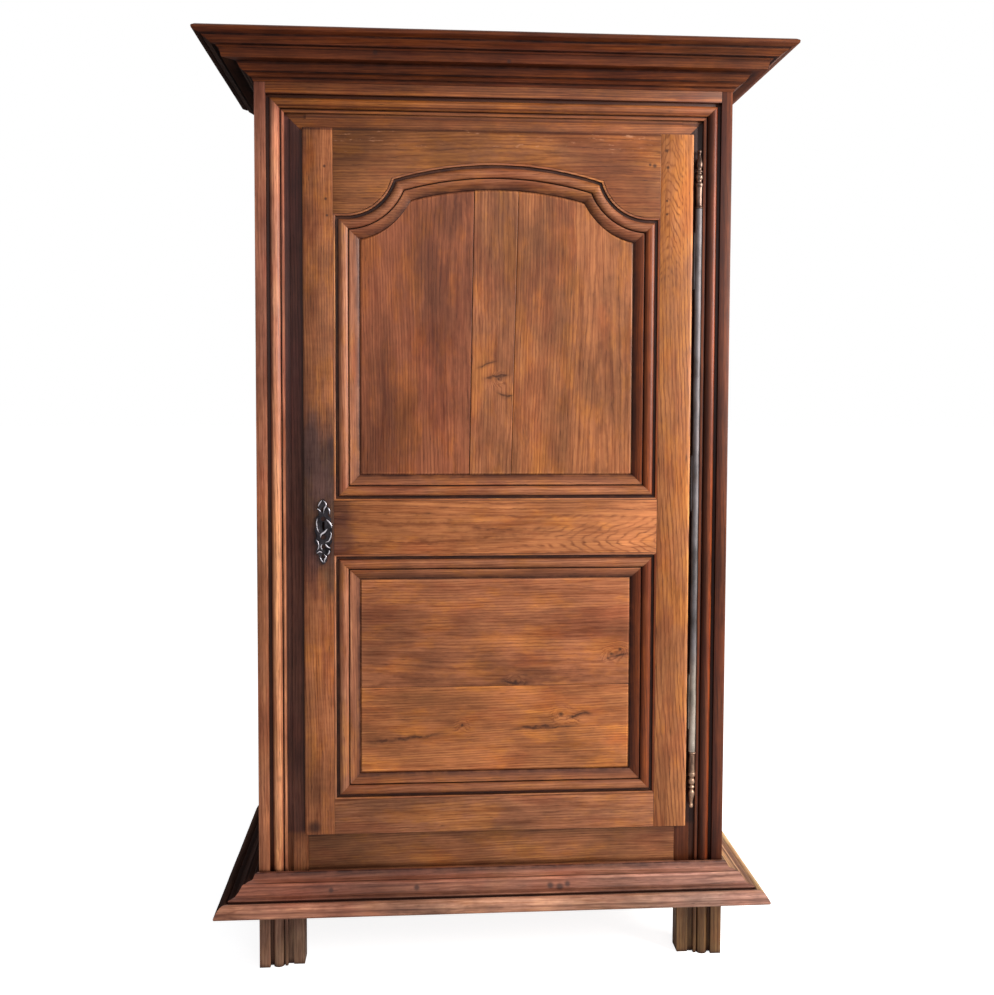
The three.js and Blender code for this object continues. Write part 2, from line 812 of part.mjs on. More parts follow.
function addDoorFrames() {
  const section = frameSection();
  for (const [side, word] of [[-1, 'left'], [1, 'right']]) {
    addPiece(`frame_upper_${word}`, uprightRun(side, section, doorMiddleRailTop, cornerLevel), oak);
    addPiece(`frame_lower_${word}`,
      uprightRun(side, section, doorBottomRailTop, (inset) => doorMiddleRailBottom - inset), oak);
  }
  addPiece('frame_upper_arch', archedRun(section), oak);
  addPiece('frame_upper_bottom', levelRun(section, doorMiddleRailTop, 1), oak);
  addPiece('frame_lower_top', levelRun(section, doorMiddleRailBottom, -1), oak);
  addPiece('frame_lower_bottom', levelRun(section, doorBottomRailTop, 1), oak);
}

function doorPanel(topLine, bottom) {
  const inset = frameWidth - doorPanelGrip;
  const xs = [panelMiddle - panelHalf + inset, panelMiddle + panelHalf - inset];
  const outline = [[xs[0], bottom + inset], ...topLine(inset, xs), [xs[1], bottom + inset]];
  return boardShape(outline, [doorFace + doorPanelDepth, doorFace + doorPanelDepth + doorPanelThickness]);
}

// Turned end of the hinge: shares of the ring's radius and of the length from the joint to the tip
const knuckleShare = 0.36;
const finialShares = [
  [1, 0.38],
  [1, 0.4],
  [0.73, 0.43],
  [1, 0.47],
  [0.64, 0.53],
  [0.95, 0.58],
  [0.86, 0.7],
  [0.55, 0.76],
  [0.91, 0.86],
  [0.45, 0.95],
];

// Hinge: two fixed knuckles with turned finials, and the long barrel that turns with the door
function finialProfile(joint, direction) {
  const boreRadius = hingePinRadius + runningClearance;
  const level = (share) => joint + direction * share * hingeEndLength;
  const plain = [[hingeRadius, joint], [hingeRadius, level(knuckleShare)]];
  const outside = [...plain, ...finialShares.map(([out, up]) => [out * hingeRingRadius, level(up)])];
  const boreEnd = joint + direction * (hingePinGrip + clearance);
  return [[0, boreEnd], [boreRadius, boreEnd], [boreRadius, joint], ...outside, [0, level(1)]];
}

function fixedKnuckle(joint, direction) {
  const start = joint + direction * clearance;
  const knuckle = turned(finialProfile(start, direction), hingeX, hingeY);
  const leafXs = [hingeX - hingeLeafThickness / 2, hingeX + hingeLeafThickness / 2];
  const leafYs = [hingeY + hingeRadius - hingeLeafBite, recessFace + hingeLeafDepth];
  return knuckle.add(block(leafXs, leafYs, leafLevels(start, direction)));
}

function leafLevels(joint, direction) {
  return [joint, joint + direction * hingeLeafLength];
}

function hingePin() {
  const ends = [hingeLowerJoint - hingePinGrip, hingeUpperJoint + hingePinGrip];
  const profile = [[0, ends[0]], [hingePinRadius, ends[0]], [hingePinRadius, ends[1]], [0, ends[1]]];
  return turned(profile, hingeX, hingeY);
}

function wingLevels(number) {
  const first = hingeLowerJoint + hingeWingInset;
  const span = hingeUpperJoint - hingeLowerJoint - 2 * hingeWingInset - hingeWingLength;
  const bottom = first + (span * number) / (hingeWingCount - 1);
  return [bottom, bottom + hingeWingLength];
}

function hingeBarrel() {
  const boreRadius = hingePinRadius + runningClearance;
  const tube = turned([
    [boreRadius, hingeLowerJoint],
    [hingeRadius, hingeLowerJoint],
    [hingeRadius, hingeUpperJoint],
    [boreRadius, hingeUpperJoint],
    [boreRadius, hingeLowerJoint],
  ], hingeX, hingeY);
  const wings = [];
  for (let number = 0; number < hingeWingCount; number += 1) {
    wings.push(block([hingeX - hingeRadius + hingeLeafBite, doorRight - hingeLeafDepth],
      [hingeY - hingeLeafThickness / 2, hingeY + hingeLeafThickness / 2], wingLevels(number)));
  }
  return joinAll([tube, ...wings]);
}

function wingSlots() {
  const slots = [];
  for (let number = 0; number < hingeWingCount; number += 1) {
    slots.push(block([doorRight + overrun, doorRight - hingeLeafDepth - clearance],
      grown([hingeY - hingeLeafThickness / 2, hingeY + hingeLeafThickness / 2], clearance),
      grown(wingLevels(number), clearance)));
  }
  return slots;
}

function leafSlots() {
  const xs = grown([hingeX - hingeLeafThickness / 2, hingeX + hingeLeafThickness / 2], clearance);
  const ys = [recessFace - overrun, recessFace + hingeLeafDepth + clearance];
  return [
    block(xs, ys, grown(leafLevels(hingeUpperJoint, 1), leafClearance)),
    block(xs, ys, grown(leafLevels(hingeLowerJoint, -1), leafClearance)),
  ];
}

// Lock on the back of the lock stile, with a bolt that shoots into the left post
const caseXs = [doorLeft + lockCaseInset, doorLeft + lockCaseInset + lockCaseWidth];
const caseYs = [doorBack + clearance, doorBack + clearance + lockCaseThickness];
const boltXs = [caseXs[0] + boltEndInset, caseXs[0] + boltEndInset + boltLength];
const boltYs = [caseYs[0] + boltSetback, caseYs[0] + boltSetback + boltThickness];
const boltZs = [lockHeight - boltHeight / 2, lockHeight + boltHeight / 2];
const keyholeX = doorLeft + lockStileWidth * keyholeShare;
const keyholeMiddle = lockHeight + keyholeRise;
const keyholeZs = [keyholeMiddle - keyholeHeight / 2, keyholeMiddle + keyholeHeight / 2];
const keyholeXs = [keyholeX - keyholeWidth / 2, keyholeX + keyholeWidth / 2];

function lockCase() {
  const whole = block(caseXs, caseYs, [lockHeight - lockCaseHeight / 2, lockHeight + lockCaseHeight / 2]);
  const channel = block([caseXs[0] - overrun, boltXs[1] + clearance], grown(boltYs, clearance),
    grown(boltZs, clearance));
  const keyway = block(keyholeXs, [caseYs[0] - overrun, boltYs[0]], keyholeZs);
  return cutAll(whole, [channel, keyway]);
}

function lockBolt() {
  return block(boltXs, boltYs, boltZs);
}

function keeperPocket() {
  const middle = (boltYs[0] + boltYs[1]) / 2;
  const plate = block([-postInner + overrun, -postInner - keeperThickness - clearance],
    grown([middle - keeperWidth / 2, middle + keeperWidth / 2], clearance),
    grown([lockHeight - keeperHeight / 2, lockHeight + keeperHeight / 2], clearance));
  const mortise = block([-postInner, boltXs[0] - boltThrow - leafClearance], grown(boltYs, clearance),
    grown(boltZs, clearance));
  return [plate, mortise];
}

function lockKeeper() {
  const middle = (boltYs[0] + boltYs[1]) / 2;
  const plate = block([-postInner, -postInner - keeperThickness],
    [middle - keeperWidth / 2, middle + keeperWidth / 2],
    [lockHeight - keeperHeight / 2, lockHeight + keeperHeight / 2]);
  return plate.subtract(block([-postInner + overrun, -postInner - keeperThickness - overrun],
    grown(boltYs, clearance), grown(boltZs, clearance)));
}

// Pierced keyhole plate: a strap that swells and narrows, with a keyhole and lens-shaped openings
const plateOutlineShares = [
  [0, 1],
  [0.34, 0.93],
  [0.58, 0.84],
  [0.5, 0.76],
  [0.9, 0.7],
  [0.72, 0.61],
  [1, 0.52],
  [0.8, 0.43],
  [1, 0.35],
  [0.62, 0.27],
  [0.86, 0.2],
  [0.44, 0.13],
  [0.4, 0.06],
  [0, 0],
];
const plateOpeningShares = [
  [0, 0.84, 0.26, 0.045],
  [0, 0.7, 0.3, 0.04],
  [0, 0.42, 0.34, 0.04],
  [0, 0.27, 0.3, 0.04],
  [0, 0.13, 0.2, 0.03],
];

function keyholePlate() {
  const half = plateWidth / 2;
  const bottom = lockHeight - plateDrop - plateHeight / 2;
  const place = ([out, up]) => [keyholeX + out * half, bottom + up * plateHeight];
  const right = plateOutlineShares.map(place);
  const left = plateOutlineShares.slice(1, -1).reverse().map(([out, up]) => place([-out, up]));
  const openings = plateOpeningShares.map(([out, up, wide, tall]) => {
    const ring = [];
    for (let i = 0; i < plateFacets; i += 1) {
      const angle = (2 * Math.PI * i) / plateFacets;
      ring.push(place([out + wide * Math.cos(angle), up + tall * Math.sin(angle)]));
    }
    return ring;
  });
  const back = doorFace - clearance;
  const plate = boardShape([...right, ...left], [back - plateThickness, back], openings);
  return plate.subtract(keyway([back - plateThickness - overrun, back + overrun]));
}

function keyway(ys) {
  return block(keyholeXs, ys, keyholeZs);
}

// Carcase
addPiece('post_front_left', frontPost(-1, keeperPocket()), oak);
addPiece('post_front_right', frontPost(1, leafSlots()), oak);
for (const [side, word] of [[-1, 'left'], [1, 'right']]) {
  addPiece(`post_rear_${word}`, rearPost(side), oak);
  addPiece(`rail_side_bottom_${word}`, sideRail(side, frameRails[0]), oak);
  addPiece(`rail_side_middle_${word}`, sideRail(side, frameRails[1]), oak);
  addPiece(`rail_side_top_${word}`, sideRail(side, frameRails[2]), oak);
  addPiece(`panel_side_lower_${word}`, sidePanel(side, [bottomRailTop, middleRailBottom]), oakPanel);
  addPiece(`panel_side_upper_${word}`, sidePanel(side, [middleRailTop, topRailBottom]), oakPanel);
  addPiece(`cornice_${word}`, sideRun(side, corniceSection), oak);
  addPiece(`base_${word}`, sideRun(side, baseSection), oak);
  for (let shelf = 1; shelf <= shelfCount; shelf += 1) {
    addPiece(`cleat_${shelf}_${word}`, shelfCleat(side, shelfLevel(shelf)), oakInside);
  }
}
addPiece('rail_front_top', frontTopRail(), oak);
addPiece('rail_front_bottom', frontBottomRail(), oak);
addPiece('rail_rear_bottom', rearRail(frameRails[0]), oakInside);
addPiece('rail_rear_middle', rearRail(frameRails[1]), oakInside);
addPiece('rail_rear_top', rearRail(frameRails[2]), oakInside);
addPiece('panel_back_lower', backPanel([bottomRailTop, middleRailBottom]), oakInside);
addPiece('panel_back_upper', backPanel([middleRailTop, topRailBottom]), oakInside);
addPiece('board_floor', floorBoard(), oakInside);
addPiece('board_top', topBoard(), oakInside);
for (let shelf = 1; shelf <= shelfCount; shelf += 1) {
  addPiece(`shelf_${shelf}`, insideBoard(shelfLevel(shelf), frontPostBack + clearance), oakInside);
}
addPiece('cornice_front', frontRun(corniceSection), oak);
addPiece('base_front', frontRun(baseSection), oak);

// Door
const stileKeyway = keyway([doorFace - overrun, doorBack + overrun]);
addPiece('door_stile_lock', doorStile(-1, lockStileWidth, lockLipWidth, [stileKeyway]), oak);
addPiece('door_stile_hinge', doorStile(1, hingeStileWidth, hingeLipWidth, wingSlots()), oak);
addPiece('door_rail_bottom', doorBottomRail(), oak);
addPiece('door_rail_middle', doorMiddleRail(), oak);
addPiece('door_rail_top', doorTopRail(), oak);
addDoorFrames();
addPiece('door_panel_upper', doorPanel((inset) => archLine(inset), doorMiddleRailTop), oakPanel);
addPiece('door_panel_lower', doorPanel((inset, xs) =>
  xs.map((x) => [x, doorMiddleRailBottom - inset]), doorBottomRailTop), oakPanel);

// Metalwork
addPiece('hinge_pin', hingePin(), steel);
addPiece('hinge_knuckle_top', fixedKnuckle(hingeUpperJoint, 1), steel);
addPiece('hinge_knuckle_bottom', fixedKnuckle(hingeLowerJoint, -1), steel);
addPiece('hinge_barrel', hingeBarrel(), steel);
addPiece('keyhole_plate', keyholePlate(), iron);
addPiece('lock_case', lockCase(), iron);
addPiece('lock_bolt', lockBolt(), iron);
addPiece('lock_keeper', lockKeeper(), iron);

export default group;
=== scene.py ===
"""Looks of a one-door oak cupboard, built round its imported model. Metres, +Z up, the front faces -Y."""
import math

import bpy
import numpy as np
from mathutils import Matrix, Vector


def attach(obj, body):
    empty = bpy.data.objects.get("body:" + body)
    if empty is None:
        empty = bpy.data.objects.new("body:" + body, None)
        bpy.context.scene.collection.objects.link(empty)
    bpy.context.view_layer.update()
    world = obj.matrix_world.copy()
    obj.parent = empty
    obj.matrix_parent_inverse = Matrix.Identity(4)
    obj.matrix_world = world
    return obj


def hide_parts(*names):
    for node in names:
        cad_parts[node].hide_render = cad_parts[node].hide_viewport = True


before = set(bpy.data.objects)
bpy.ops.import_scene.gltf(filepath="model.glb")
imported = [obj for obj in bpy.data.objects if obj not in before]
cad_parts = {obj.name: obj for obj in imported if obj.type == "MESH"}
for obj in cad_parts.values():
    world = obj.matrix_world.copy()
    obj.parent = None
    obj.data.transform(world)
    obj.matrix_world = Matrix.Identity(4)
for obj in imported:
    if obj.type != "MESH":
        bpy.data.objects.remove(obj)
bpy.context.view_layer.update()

MM = 0.001

# Sizes of the moulded pieces, in millimetres
HALF_BODY = 502.0
FRONT_FACE = -157.0
REAR_FACE = 260.0
MITRE_GAP = 0.15
WALL_GAP = 0.3
CORNICE_OUT = 103.0
CORNICE_BOTTOM = 1872.0
CORNICE_TALL = 78.0
BASE_OUT = 80.5
BASE_BOTTOM = 151.0
BASE_TALL = 60.0
DOOR_FACE = -162.0
PANEL_MIDDLE = 3.5
PANEL_HALF = 344.5
BOTTOM_RAIL_TOP = 365.0
MIDDLE_RAIL_BOTTOM = 891.5
MIDDLE_RAIL_TOP = 1004.5
SHOULDER_FLAT = 25.0
SHOULDER_RADIUS = 100.0
SHOULDER_LEVEL = 1604.5
CROWN_LEVEL = 1713.7
CROWN_RADIUS = 751.0
SHOULDER_X = PANEL_HALF - SHOULDER_FLAT
SHOULDER_Z = SHOULDER_LEVEL + SHOULDER_RADIUS
CROWN_Z = CROWN_LEVEL - CROWN_RADIUS
PANEL_FACE = -153.7
PANEL_THICK = 8.5
PANEL_INSET = 46.2
PANEL_LEFT_EDGE = PANEL_MIDDLE - PANEL_HALF + PANEL_INSET
PANEL_RIGHT_EDGE = PANEL_MIDDLE + PANEL_HALF - PANEL_INSET
HINGE_X = 432.5
HINGE_Y = -155.0

# Turns that lay a piece's grain along the third axis
GRAIN_TURNS = {
    "up": (0.0, 0.0, 0.0),
    "across": (0.0, -math.pi / 2, 0.0),
    "back": (math.pi / 2, 0.0, 0.0),
}


def srgb(red, green, blue):
    """Linear colour of a display colour given in 0 to 255: the display curve undone for each channel."""
    shares = [value / 255 for value in (red, green, blue)]
    return tuple(s / 12.92 if s <= 0.04045 else ((s + 0.055) / 1.055) ** 2.4 for s in shares) + (1.0,)


# Node helpers
def add(tree, kind, inputs=None, **settings):
    """A new node with its settings, whose inputs take a value or a link."""
    made = tree.nodes.new(kind)
    for key, value in settings.items():
        setattr(made, key, value)
    for key, value in (inputs or {}).items():
        if isinstance(value, bpy.types.NodeSocket):
            tree.links.new(value, made.inputs[key])
        else:
            made.inputs[key].default_value = value
    return made


def maths(tree, operation, first, second=0.0, third=0.0):
    inputs = {0: first, 1: second, 2: third}
    return add(tree, "ShaderNodeMath", inputs, operation=operation).outputs[0]


def fused(tree, first, second, third):
    """First times second plus third."""
    return maths(tree, "MULTIPLY_ADD", first, second, third)


def vector(tree, operation, first, second, third=(0.0, 0.0, 0.0)):
    inputs = {0: first, 1: second, 2: third}
    return add(tree, "ShaderNodeVectorMath", inputs, operation=operation).outputs[0]


def axes(tree, place):
    return add(tree, "ShaderNodeSeparateXYZ", {0: place}).outputs


def ramp(tree, value, stops):
    """Colour ramp through (place, colour) stops."""
    made = add(tree, "ShaderNodeValToRGB", {0: value})
    elements = made.color_ramp.elements
    while len(elements) < len(stops):
        elements.new(0.5)
    for element, (place, colour) in zip(elements, stops):
        element.position = place
        element.color = colour
    return made.outputs["Color"]


def span(tree, value, low, high, out_low=0.0, out_high=1.0):
    """Smooth step of value from low to high."""
    inputs = {0: value, 1: low, 2: high, 3: out_low, 4: out_high}
    return add(tree, "ShaderNodeMapRange", inputs, interpolation_type="SMOOTHSTEP").outputs[0]


def blend(tree, factor, first, second, kind="MIX"):
    made = add(tree, "ShaderNodeMix", {0: factor, 6: first, 7: second}, data_type="RGBA", blend_type=kind)
    return made.outputs[2]


def times(tree, first, second):
    return maths(tree, "MULTIPLY", first, second)


def tinted(tree, factor, colour, share):
    """The colour times a colour share, as far as the factor goes."""
    return blend(tree, factor, colour, blend(tree, 1.0, colour, (*share, 1.0), "MULTIPLY"))


def distance_from(tree, place, point):
    return add(tree, "ShaderNodeVectorMath", {0: place, 1: point}, operation="DISTANCE").outputs[1]


def object_place(tree):
    return add(tree, "ShaderNodeTexCoord").outputs["Object"]


def wear_and_shading_value(tree):
    return add(tree, "ShaderNodeAttribute", attribute_name="wear_and_shading").outputs["Fac"]


def new_material(name):
    material = bpy.data.materials.new(name)
    material.use_nodes = True
    material.node_tree.nodes.clear()
    return material, material.node_tree


def surfaced(tree, colour, roughness, height, strength, deep, **more):
    """The finished surface: a colour, a roughness and a relief of the given strength and depth."""
    bump = add(tree, "ShaderNodeBump", {"Strength": strength, "Distance": deep, "Height": height})
    inputs = {"Base Color": colour, "Roughness": roughness, "Normal": bump.outputs[0], **more}
    shader = add(tree, "ShaderNodeBsdfPrincipled", inputs)
    add(tree, "ShaderNodeOutputMaterial", {0: shader.outputs[0]})


def noise(tree, place, side, along, detail, roughness, output=0):
    """Noise of so many waves a metre to the sides and along the third axis. Output 1 is its colour."""
    stretched = vector(tree, "MULTIPLY", place, (side, side, along))
    inputs = {"Vector": stretched, "Scale": 1.0, "Detail": detail, "Roughness": roughness}
    return add(tree, "ShaderNodeTexNoise", inputs).outputs[output]


# Finishes
RING_SCALE = 58.0


def tones(red, green, blue):
    """Dark, middle and light tone of one board: the middle tone scaled down with more red kept, and up."""
    middle = srgb(red, green, blue)
    dark = tuple(share * part for share, part in zip((0.56, 0.44, 0.34, 1.0), middle))
    light = tuple(share * part for share, part in zip((1.36, 1.46, 1.34, 1.0), middle))
    return dark, middle, light


def tone_band_mask(tree, place, stain):
    """Share of a tone band, which paints staining in some places and light or shade in others: it comes in
    between the first two places along an axis and goes out between the last two. Slow noise moves the
    limits of a ragged one. Some hold only above a level."""
    axis, begin, full, fade, gone = stain[:5]
    ragged, above = stain[6:] or (0.0, None)
    parts = axes(tree, place)
    along = parts[axis]
    if ragged:
        slow = maths(tree, "SUBTRACT", noise(tree, place, 26.0, 9.0, 4.0, 0.65), 0.5)
        along = fused(tree, slow, ragged, along)
    share = times(tree, span(tree, along, begin, full), span(tree, along, gone, fade))
    if above is None:
        return share
    return times(tree, share, span(tree, parts[2], above, above + 0.012))


def crack_mask(tree, place, crack):
    """Share of a crack: a dark line inside a soft shadow, along one axis, that climbs at a slope, wavers
    with slow noise and thins out towards its ends."""
    along_axis, across_axis, start, end, level, slope, width = crack
    parts = axes(tree, place)
    along, across = parts[along_axis], parts[across_axis]
    wobble = noise(tree, place, 19.0, 19.0, 3.0, 0.55)
    line = fused(tree, along, -slope, across)
    line = fused(tree, wobble, 0.034, line)
    off = maths(tree, "ABSOLUTE", maths(tree, "SUBTRACT", line, level - slope * start + 0.017))
    inside = times(tree, span(tree, along, start, start * 0.7 + end * 0.3),
                   span(tree, along, end, end * 0.7 + start * 0.3))
    uneven = span(tree, noise(tree, place, 60.0, 60.0, 3.0, 0.6), 0.35, 0.6, 0.3, 1.0)
    core = times(tree, span(tree, off, width, width * 0.2), uneven)
    both = fused(tree, core, 0.6, span(tree, off, width * 3.0, 0.0, 0.0, 0.4))
    return times(tree, both, inside)


def arched_rings(tree, rings, place, moved, sway, arches):
    """Ring lines that turn into uneven nested arches between four places along the grain: the wave follows
    the place along the grain plus a slope times the rounded distance from the arches' middle line, and it
    fades towards the arches' half width."""
    across_axis, along_axis, middle, slope, spacing, wide, *limits = arches
    parts = axes(tree, vector(tree, "MULTIPLY_ADD", sway, (0.016, 0.016, 0.016), place))
    off = maths(tree, "SUBTRACT", parts[across_axis], middle)
    rounded = maths(tree, "SQRT", fused(tree, off, off, 0.007**2))
    reach = fused(tree, rounded, slope, parts[along_axis])
    uneven = noise(tree, moved, 60.0, 22.0, 2.0, 0.5)
    reach = fused(tree, uneven, 0.05, reach)
    wave = maths(tree, "SINE", times(tree, reach, 2 * math.pi / spacing))
    change = maths(tree, "SUBTRACT", fused(tree, wave, 0.5, 0.5), rings)
    middle_part = span(tree, rounded, wide, 0.4 * wide)
    seen = times(tree, tone_band_mask(tree, place, (along_axis, *limits)), middle_part)
    return fused(tree, seen, change, rings)


def worn_and_shaded_edges(tree, colour, place):
    """Old wax and dirt together with painted shade where the wear and shading value of the piece is below
    zero, pale rubbed wood together with a painted highlight above it. Slow noise along the piece breaks both
    up."""
    wear_and_shading = wear_and_shading_value(tree)
    uneven = span(tree, noise(tree, place, 30.0, 30.0, 3.0, 0.6), 0.32, 0.62, 0.55, 1.0)
    pale = times(tree, maths(tree, "MAXIMUM", wear_and_shading, 0.0), uneven)
    dirty_and_shaded = times(tree, maths(tree, "MAXIMUM", times(tree, wear_and_shading, -1.0), 0.0), uneven)
    colour = tinted(tree, pale, colour, (1.75, 1.95, 2.05))
    return tinted(tree, dirty_and_shaded, colour, (0.16, 0.10, 0.09))


def oak(name, along, shades, offset, pith=(0.11, 0.13), tilt=(0.012, 0.016), patch=0.42, golden=1.0,
        lines=0.55, arches=None, curl=0.0, knots=(), stains=(), cracks=(), spots=(), scratches=0.0,
        worn_and_shaded=False, gloss=0.42, shine=0.22):
    """Waxed oak. Streaks and fibres run along the grain between a dark and a light tone, thin dark ring
    lines come from circles round a pith line beside the board, pores are short dark dashes, red and
    golden patches and bands of staining and of painted light and shade change the tone, and wax and
    dirt together with painted shade darken the corners."""
    material, tree = new_material(name)
    place = object_place(tree)
    board = add(tree, "ShaderNodeMapping", {"Vector": place, "Rotation": GRAIN_TURNS[along]}).outputs[0]
    moved = vector(tree, "ADD", board, offset)
    sway = vector(tree, "SUBTRACT", noise(tree, moved, 5.0, 1.8, 2.0, 0.5, output=1), (0.5, 0.5, 0.5))
    swayed = vector(tree, "MULTIPLY_ADD", sway, (0.022, 0.022, 0.0), moved)
    knot_dark = None
    for x, y, z, radius in knots:
        away = distance_from(tree, place, (x, y, z))
        near = span(tree, away, radius * 3.5, 0.0)
        swayed = vector(tree, "ADD", swayed, times(tree, near, 0.011))
        ragged = noise(tree, moved, 90.0, 60.0, 3.0, 0.7)
        rim = fused(tree, ragged, radius * 1.3, away)
        heart = span(tree, rim, radius * 1.5, radius * 0.7)
        knot_dark = heart if knot_dark is None else maths(tree, "MAXIMUM", knot_dark, heart)
    axis_place = (pith[0] - offset[0], pith[1] - offset[1], 0.0)
    turned = {"Vector": swayed, "Rotation": (*tilt, 0.0), "Location": axis_place}
    tilted = add(tree, "ShaderNodeMapping", turned).outputs[0]
    wave = {"Vector": tilted, "Scale": RING_SCALE, "Distortion": 1.5, "Detail": 2.0, "Detail Scale": 0.8,
            "Detail Roughness": 0.55}
    rings = add(tree, "ShaderNodeTexWave", wave, wave_type="RINGS", rings_direction="Z",
                wave_profile="SIN").outputs[1]
    if arches:
        rings = arched_rings(tree, rings, place, moved, sway, arches)
    fibre = noise(tree, swayed, 430.0, 13.0, 4.0, 0.6)
    streak = noise(tree, swayed, 95.0, 3.2, 4.0, 0.66)
    pores = noise(tree, moved, 700.0, 34.0, 2.0, 0.5)
    patches = noise(tree, moved, 9.0, 4.0, 5.0, 0.66)
    level = fused(tree, streak, 0.44, fused(tree, fibre, 0.46, 0.05))
    if curl:
        ripple = noise(tree, moved, 14.0, 75.0, 3.0, 0.6)
        level = fused(tree, maths(tree, "SUBTRACT", ripple, 0.5), curl, level)
    dark, middle, light = shades
    colour = ramp(tree, level, [(0.37, dark), (0.50, middle), (0.63, light)])
    weight = span(tree, patches, 0.30, 0.70, 1.0 - patch, 1.0 + patch * 0.5)
    mottle = noise(tree, moved, 44.0, 15.0, 3.0, 0.6)
    weight = times(tree, weight, span(tree, mottle, 0.34, 0.66, 0.92, 1.08))
    grey = add(tree, "ShaderNodeCombineColor", {0: weight, 1: weight, 2: weight}).outputs[0]
    colour = blend(tree, 1.0, colour, grey, "MULTIPLY")
    red = noise(tree, moved, 13.0, 5.0, 3.0, 0.6)
    colour = tinted(tree, span(tree, red, 0.50, 0.66, 0.0, 0.8), colour, (0.88, 0.74, 0.72))
    gold = noise(tree, moved, 17.0, 7.0, 4.0, 0.7)
    colour = tinted(tree, span(tree, gold, 0.46, 0.64, 0.0, golden), colour, (1.20, 1.17, 0.80))
    line = times(tree, maths(tree, "POWER", rings, 4.0), span(tree, streak, 0.38, 0.62, 0.3, 1.0))
    colour = tinted(tree, times(tree, line, lines), colour, srgb(140, 104, 92)[:3])
    open_pore = times(tree, span(tree, pores, 0.60, 0.72), span(tree, rings, 0.0, 1.0, 0.25, 0.7))
    colour = blend(tree, open_pore, colour, srgb(52, 26, 16))
    if knot_dark is not None:
        colour = blend(tree, times(tree, knot_dark, 0.8), colour, srgb(44, 24, 17))
    for stain in stains:
        colour = tinted(tree, tone_band_mask(tree, place, stain), colour, stain[5])
    for crack in cracks:
        colour = blend(tree, times(tree, crack_mask(tree, place, crack), 0.85), colour, srgb(50, 26, 18))
    for x, y, z, radius in spots:
        away = distance_from(tree, place, (x, y, z))
        hole = span(tree, away, radius * 1.3, radius * 0.3, 0.0, 0.8)
        colour = blend(tree, hole, colour, srgb(46, 26, 22))
    if worn_and_shaded:
        colour = worn_and_shaded_edges(tree, colour, place)
    if scratches:
        marks = noise(tree, swayed, 170.0, 26.0, 6.0, 0.75)
        high = span(tree, axes(tree, place)[2], 1.715, 1.755)
        mark = times(tree, span(tree, marks, 0.60, 0.66), high)
        colour = blend(tree, times(tree, mark, scratches), colour, srgb(188, 132, 98))
    # Wax and dirt together with painted shade: darker in corners and hollows by ambient occlusion
    shelter = add(tree, "ShaderNodeAmbientOcclusion", {"Distance": 0.014}, samples=8).outputs[1]
    grime_and_shade = times(tree, span(tree, shelter, 0.90, 0.28), 0.92)
    colour = blend(tree, grime_and_shade, colour, srgb(40, 13, 6))
    roughness = fused(tree, fibre, 0.25, gloss - 0.12)
    height = fused(tree, open_pore, -0.8, times(tree, fibre, 0.6))
    surfaced(tree, colour, roughness, height, 0.22, 0.0004, **{"Specular IOR Level": shine})
    return material


def forged(name, dark, bright, gloss, scale, rust=0.0, round_axis=None, rubbed_and_lit=None, paler=None):
    """Hand-forged metal: slow noise for the hammered face, fine noise for the scale on it, and a
    brighter tone on the rubbed places, partly a painted highlight. round_axis is an upright line and a
    radius beyond which the iron is dark. rubbed_and_lit is the tone where the wear and shading value of
    the piece is high. paler is a level, a lower level and a colour share, painted light that comes in
    from the first down to the second."""
    material, tree = new_material(name)
    place = object_place(tree)
    slow = noise(tree, place, scale, scale * 0.4, 3.0, 0.6)
    fine = noise(tree, place, 900.0, 700.0, 3.0, 0.6)
    level = fused(tree, slow, 0.7, times(tree, fine, 0.3))
    colour = ramp(tree, level, [(0.36, dark), (0.62, bright)])
    if rust:
        brown = span(tree, noise(tree, place, 60.0, 22.0, 4.0, 0.65), 0.5, 0.68, 0.0, rust)
        colour = blend(tree, brown, colour, srgb(74, 50, 38))
    if paler:
        high, low, share = paler
        colour = tinted(tree, span(tree, axes(tree, place)[2], high, low), colour, share)
    if rubbed_and_lit:
        colour = blend(tree, span(tree, wear_and_shading_value(tree), 0.35, 0.85), colour, rubbed_and_lit)
    if round_axis:
        x, y, radius = round_axis
        away = distance_from(tree, vector(tree, "MULTIPLY", place, (1.0, 1.0, 0.0)), (x, y, 0.0))
        colour = blend(tree, span(tree, away, radius, radius + 0.0005), colour, srgb(38, 28, 25))
    # Dirt together with painted shade in the hollows, by ambient occlusion
    shelter = add(tree, "ShaderNodeAmbientOcclusion", {"Distance": 0.006}, samples=6).outputs[1]
    colour = blend(tree, span(tree, shelter, 0.8, 0.2, 0.0, 0.85), colour, srgb(18, 14, 13))
    roughness = fused(tree, slow, 0.3, gloss - 0.15)
    surfaced(tree, colour, roughness, level, 0.4, 0.0006, Metallic=0.9)
    return material


# Mesh helpers
SHARP_ANGLE = 38.0


def in_scene(name, data):
    made = bpy.data.objects.new(name, data)
    bpy.context.scene.collection.objects.link(made)
    return made


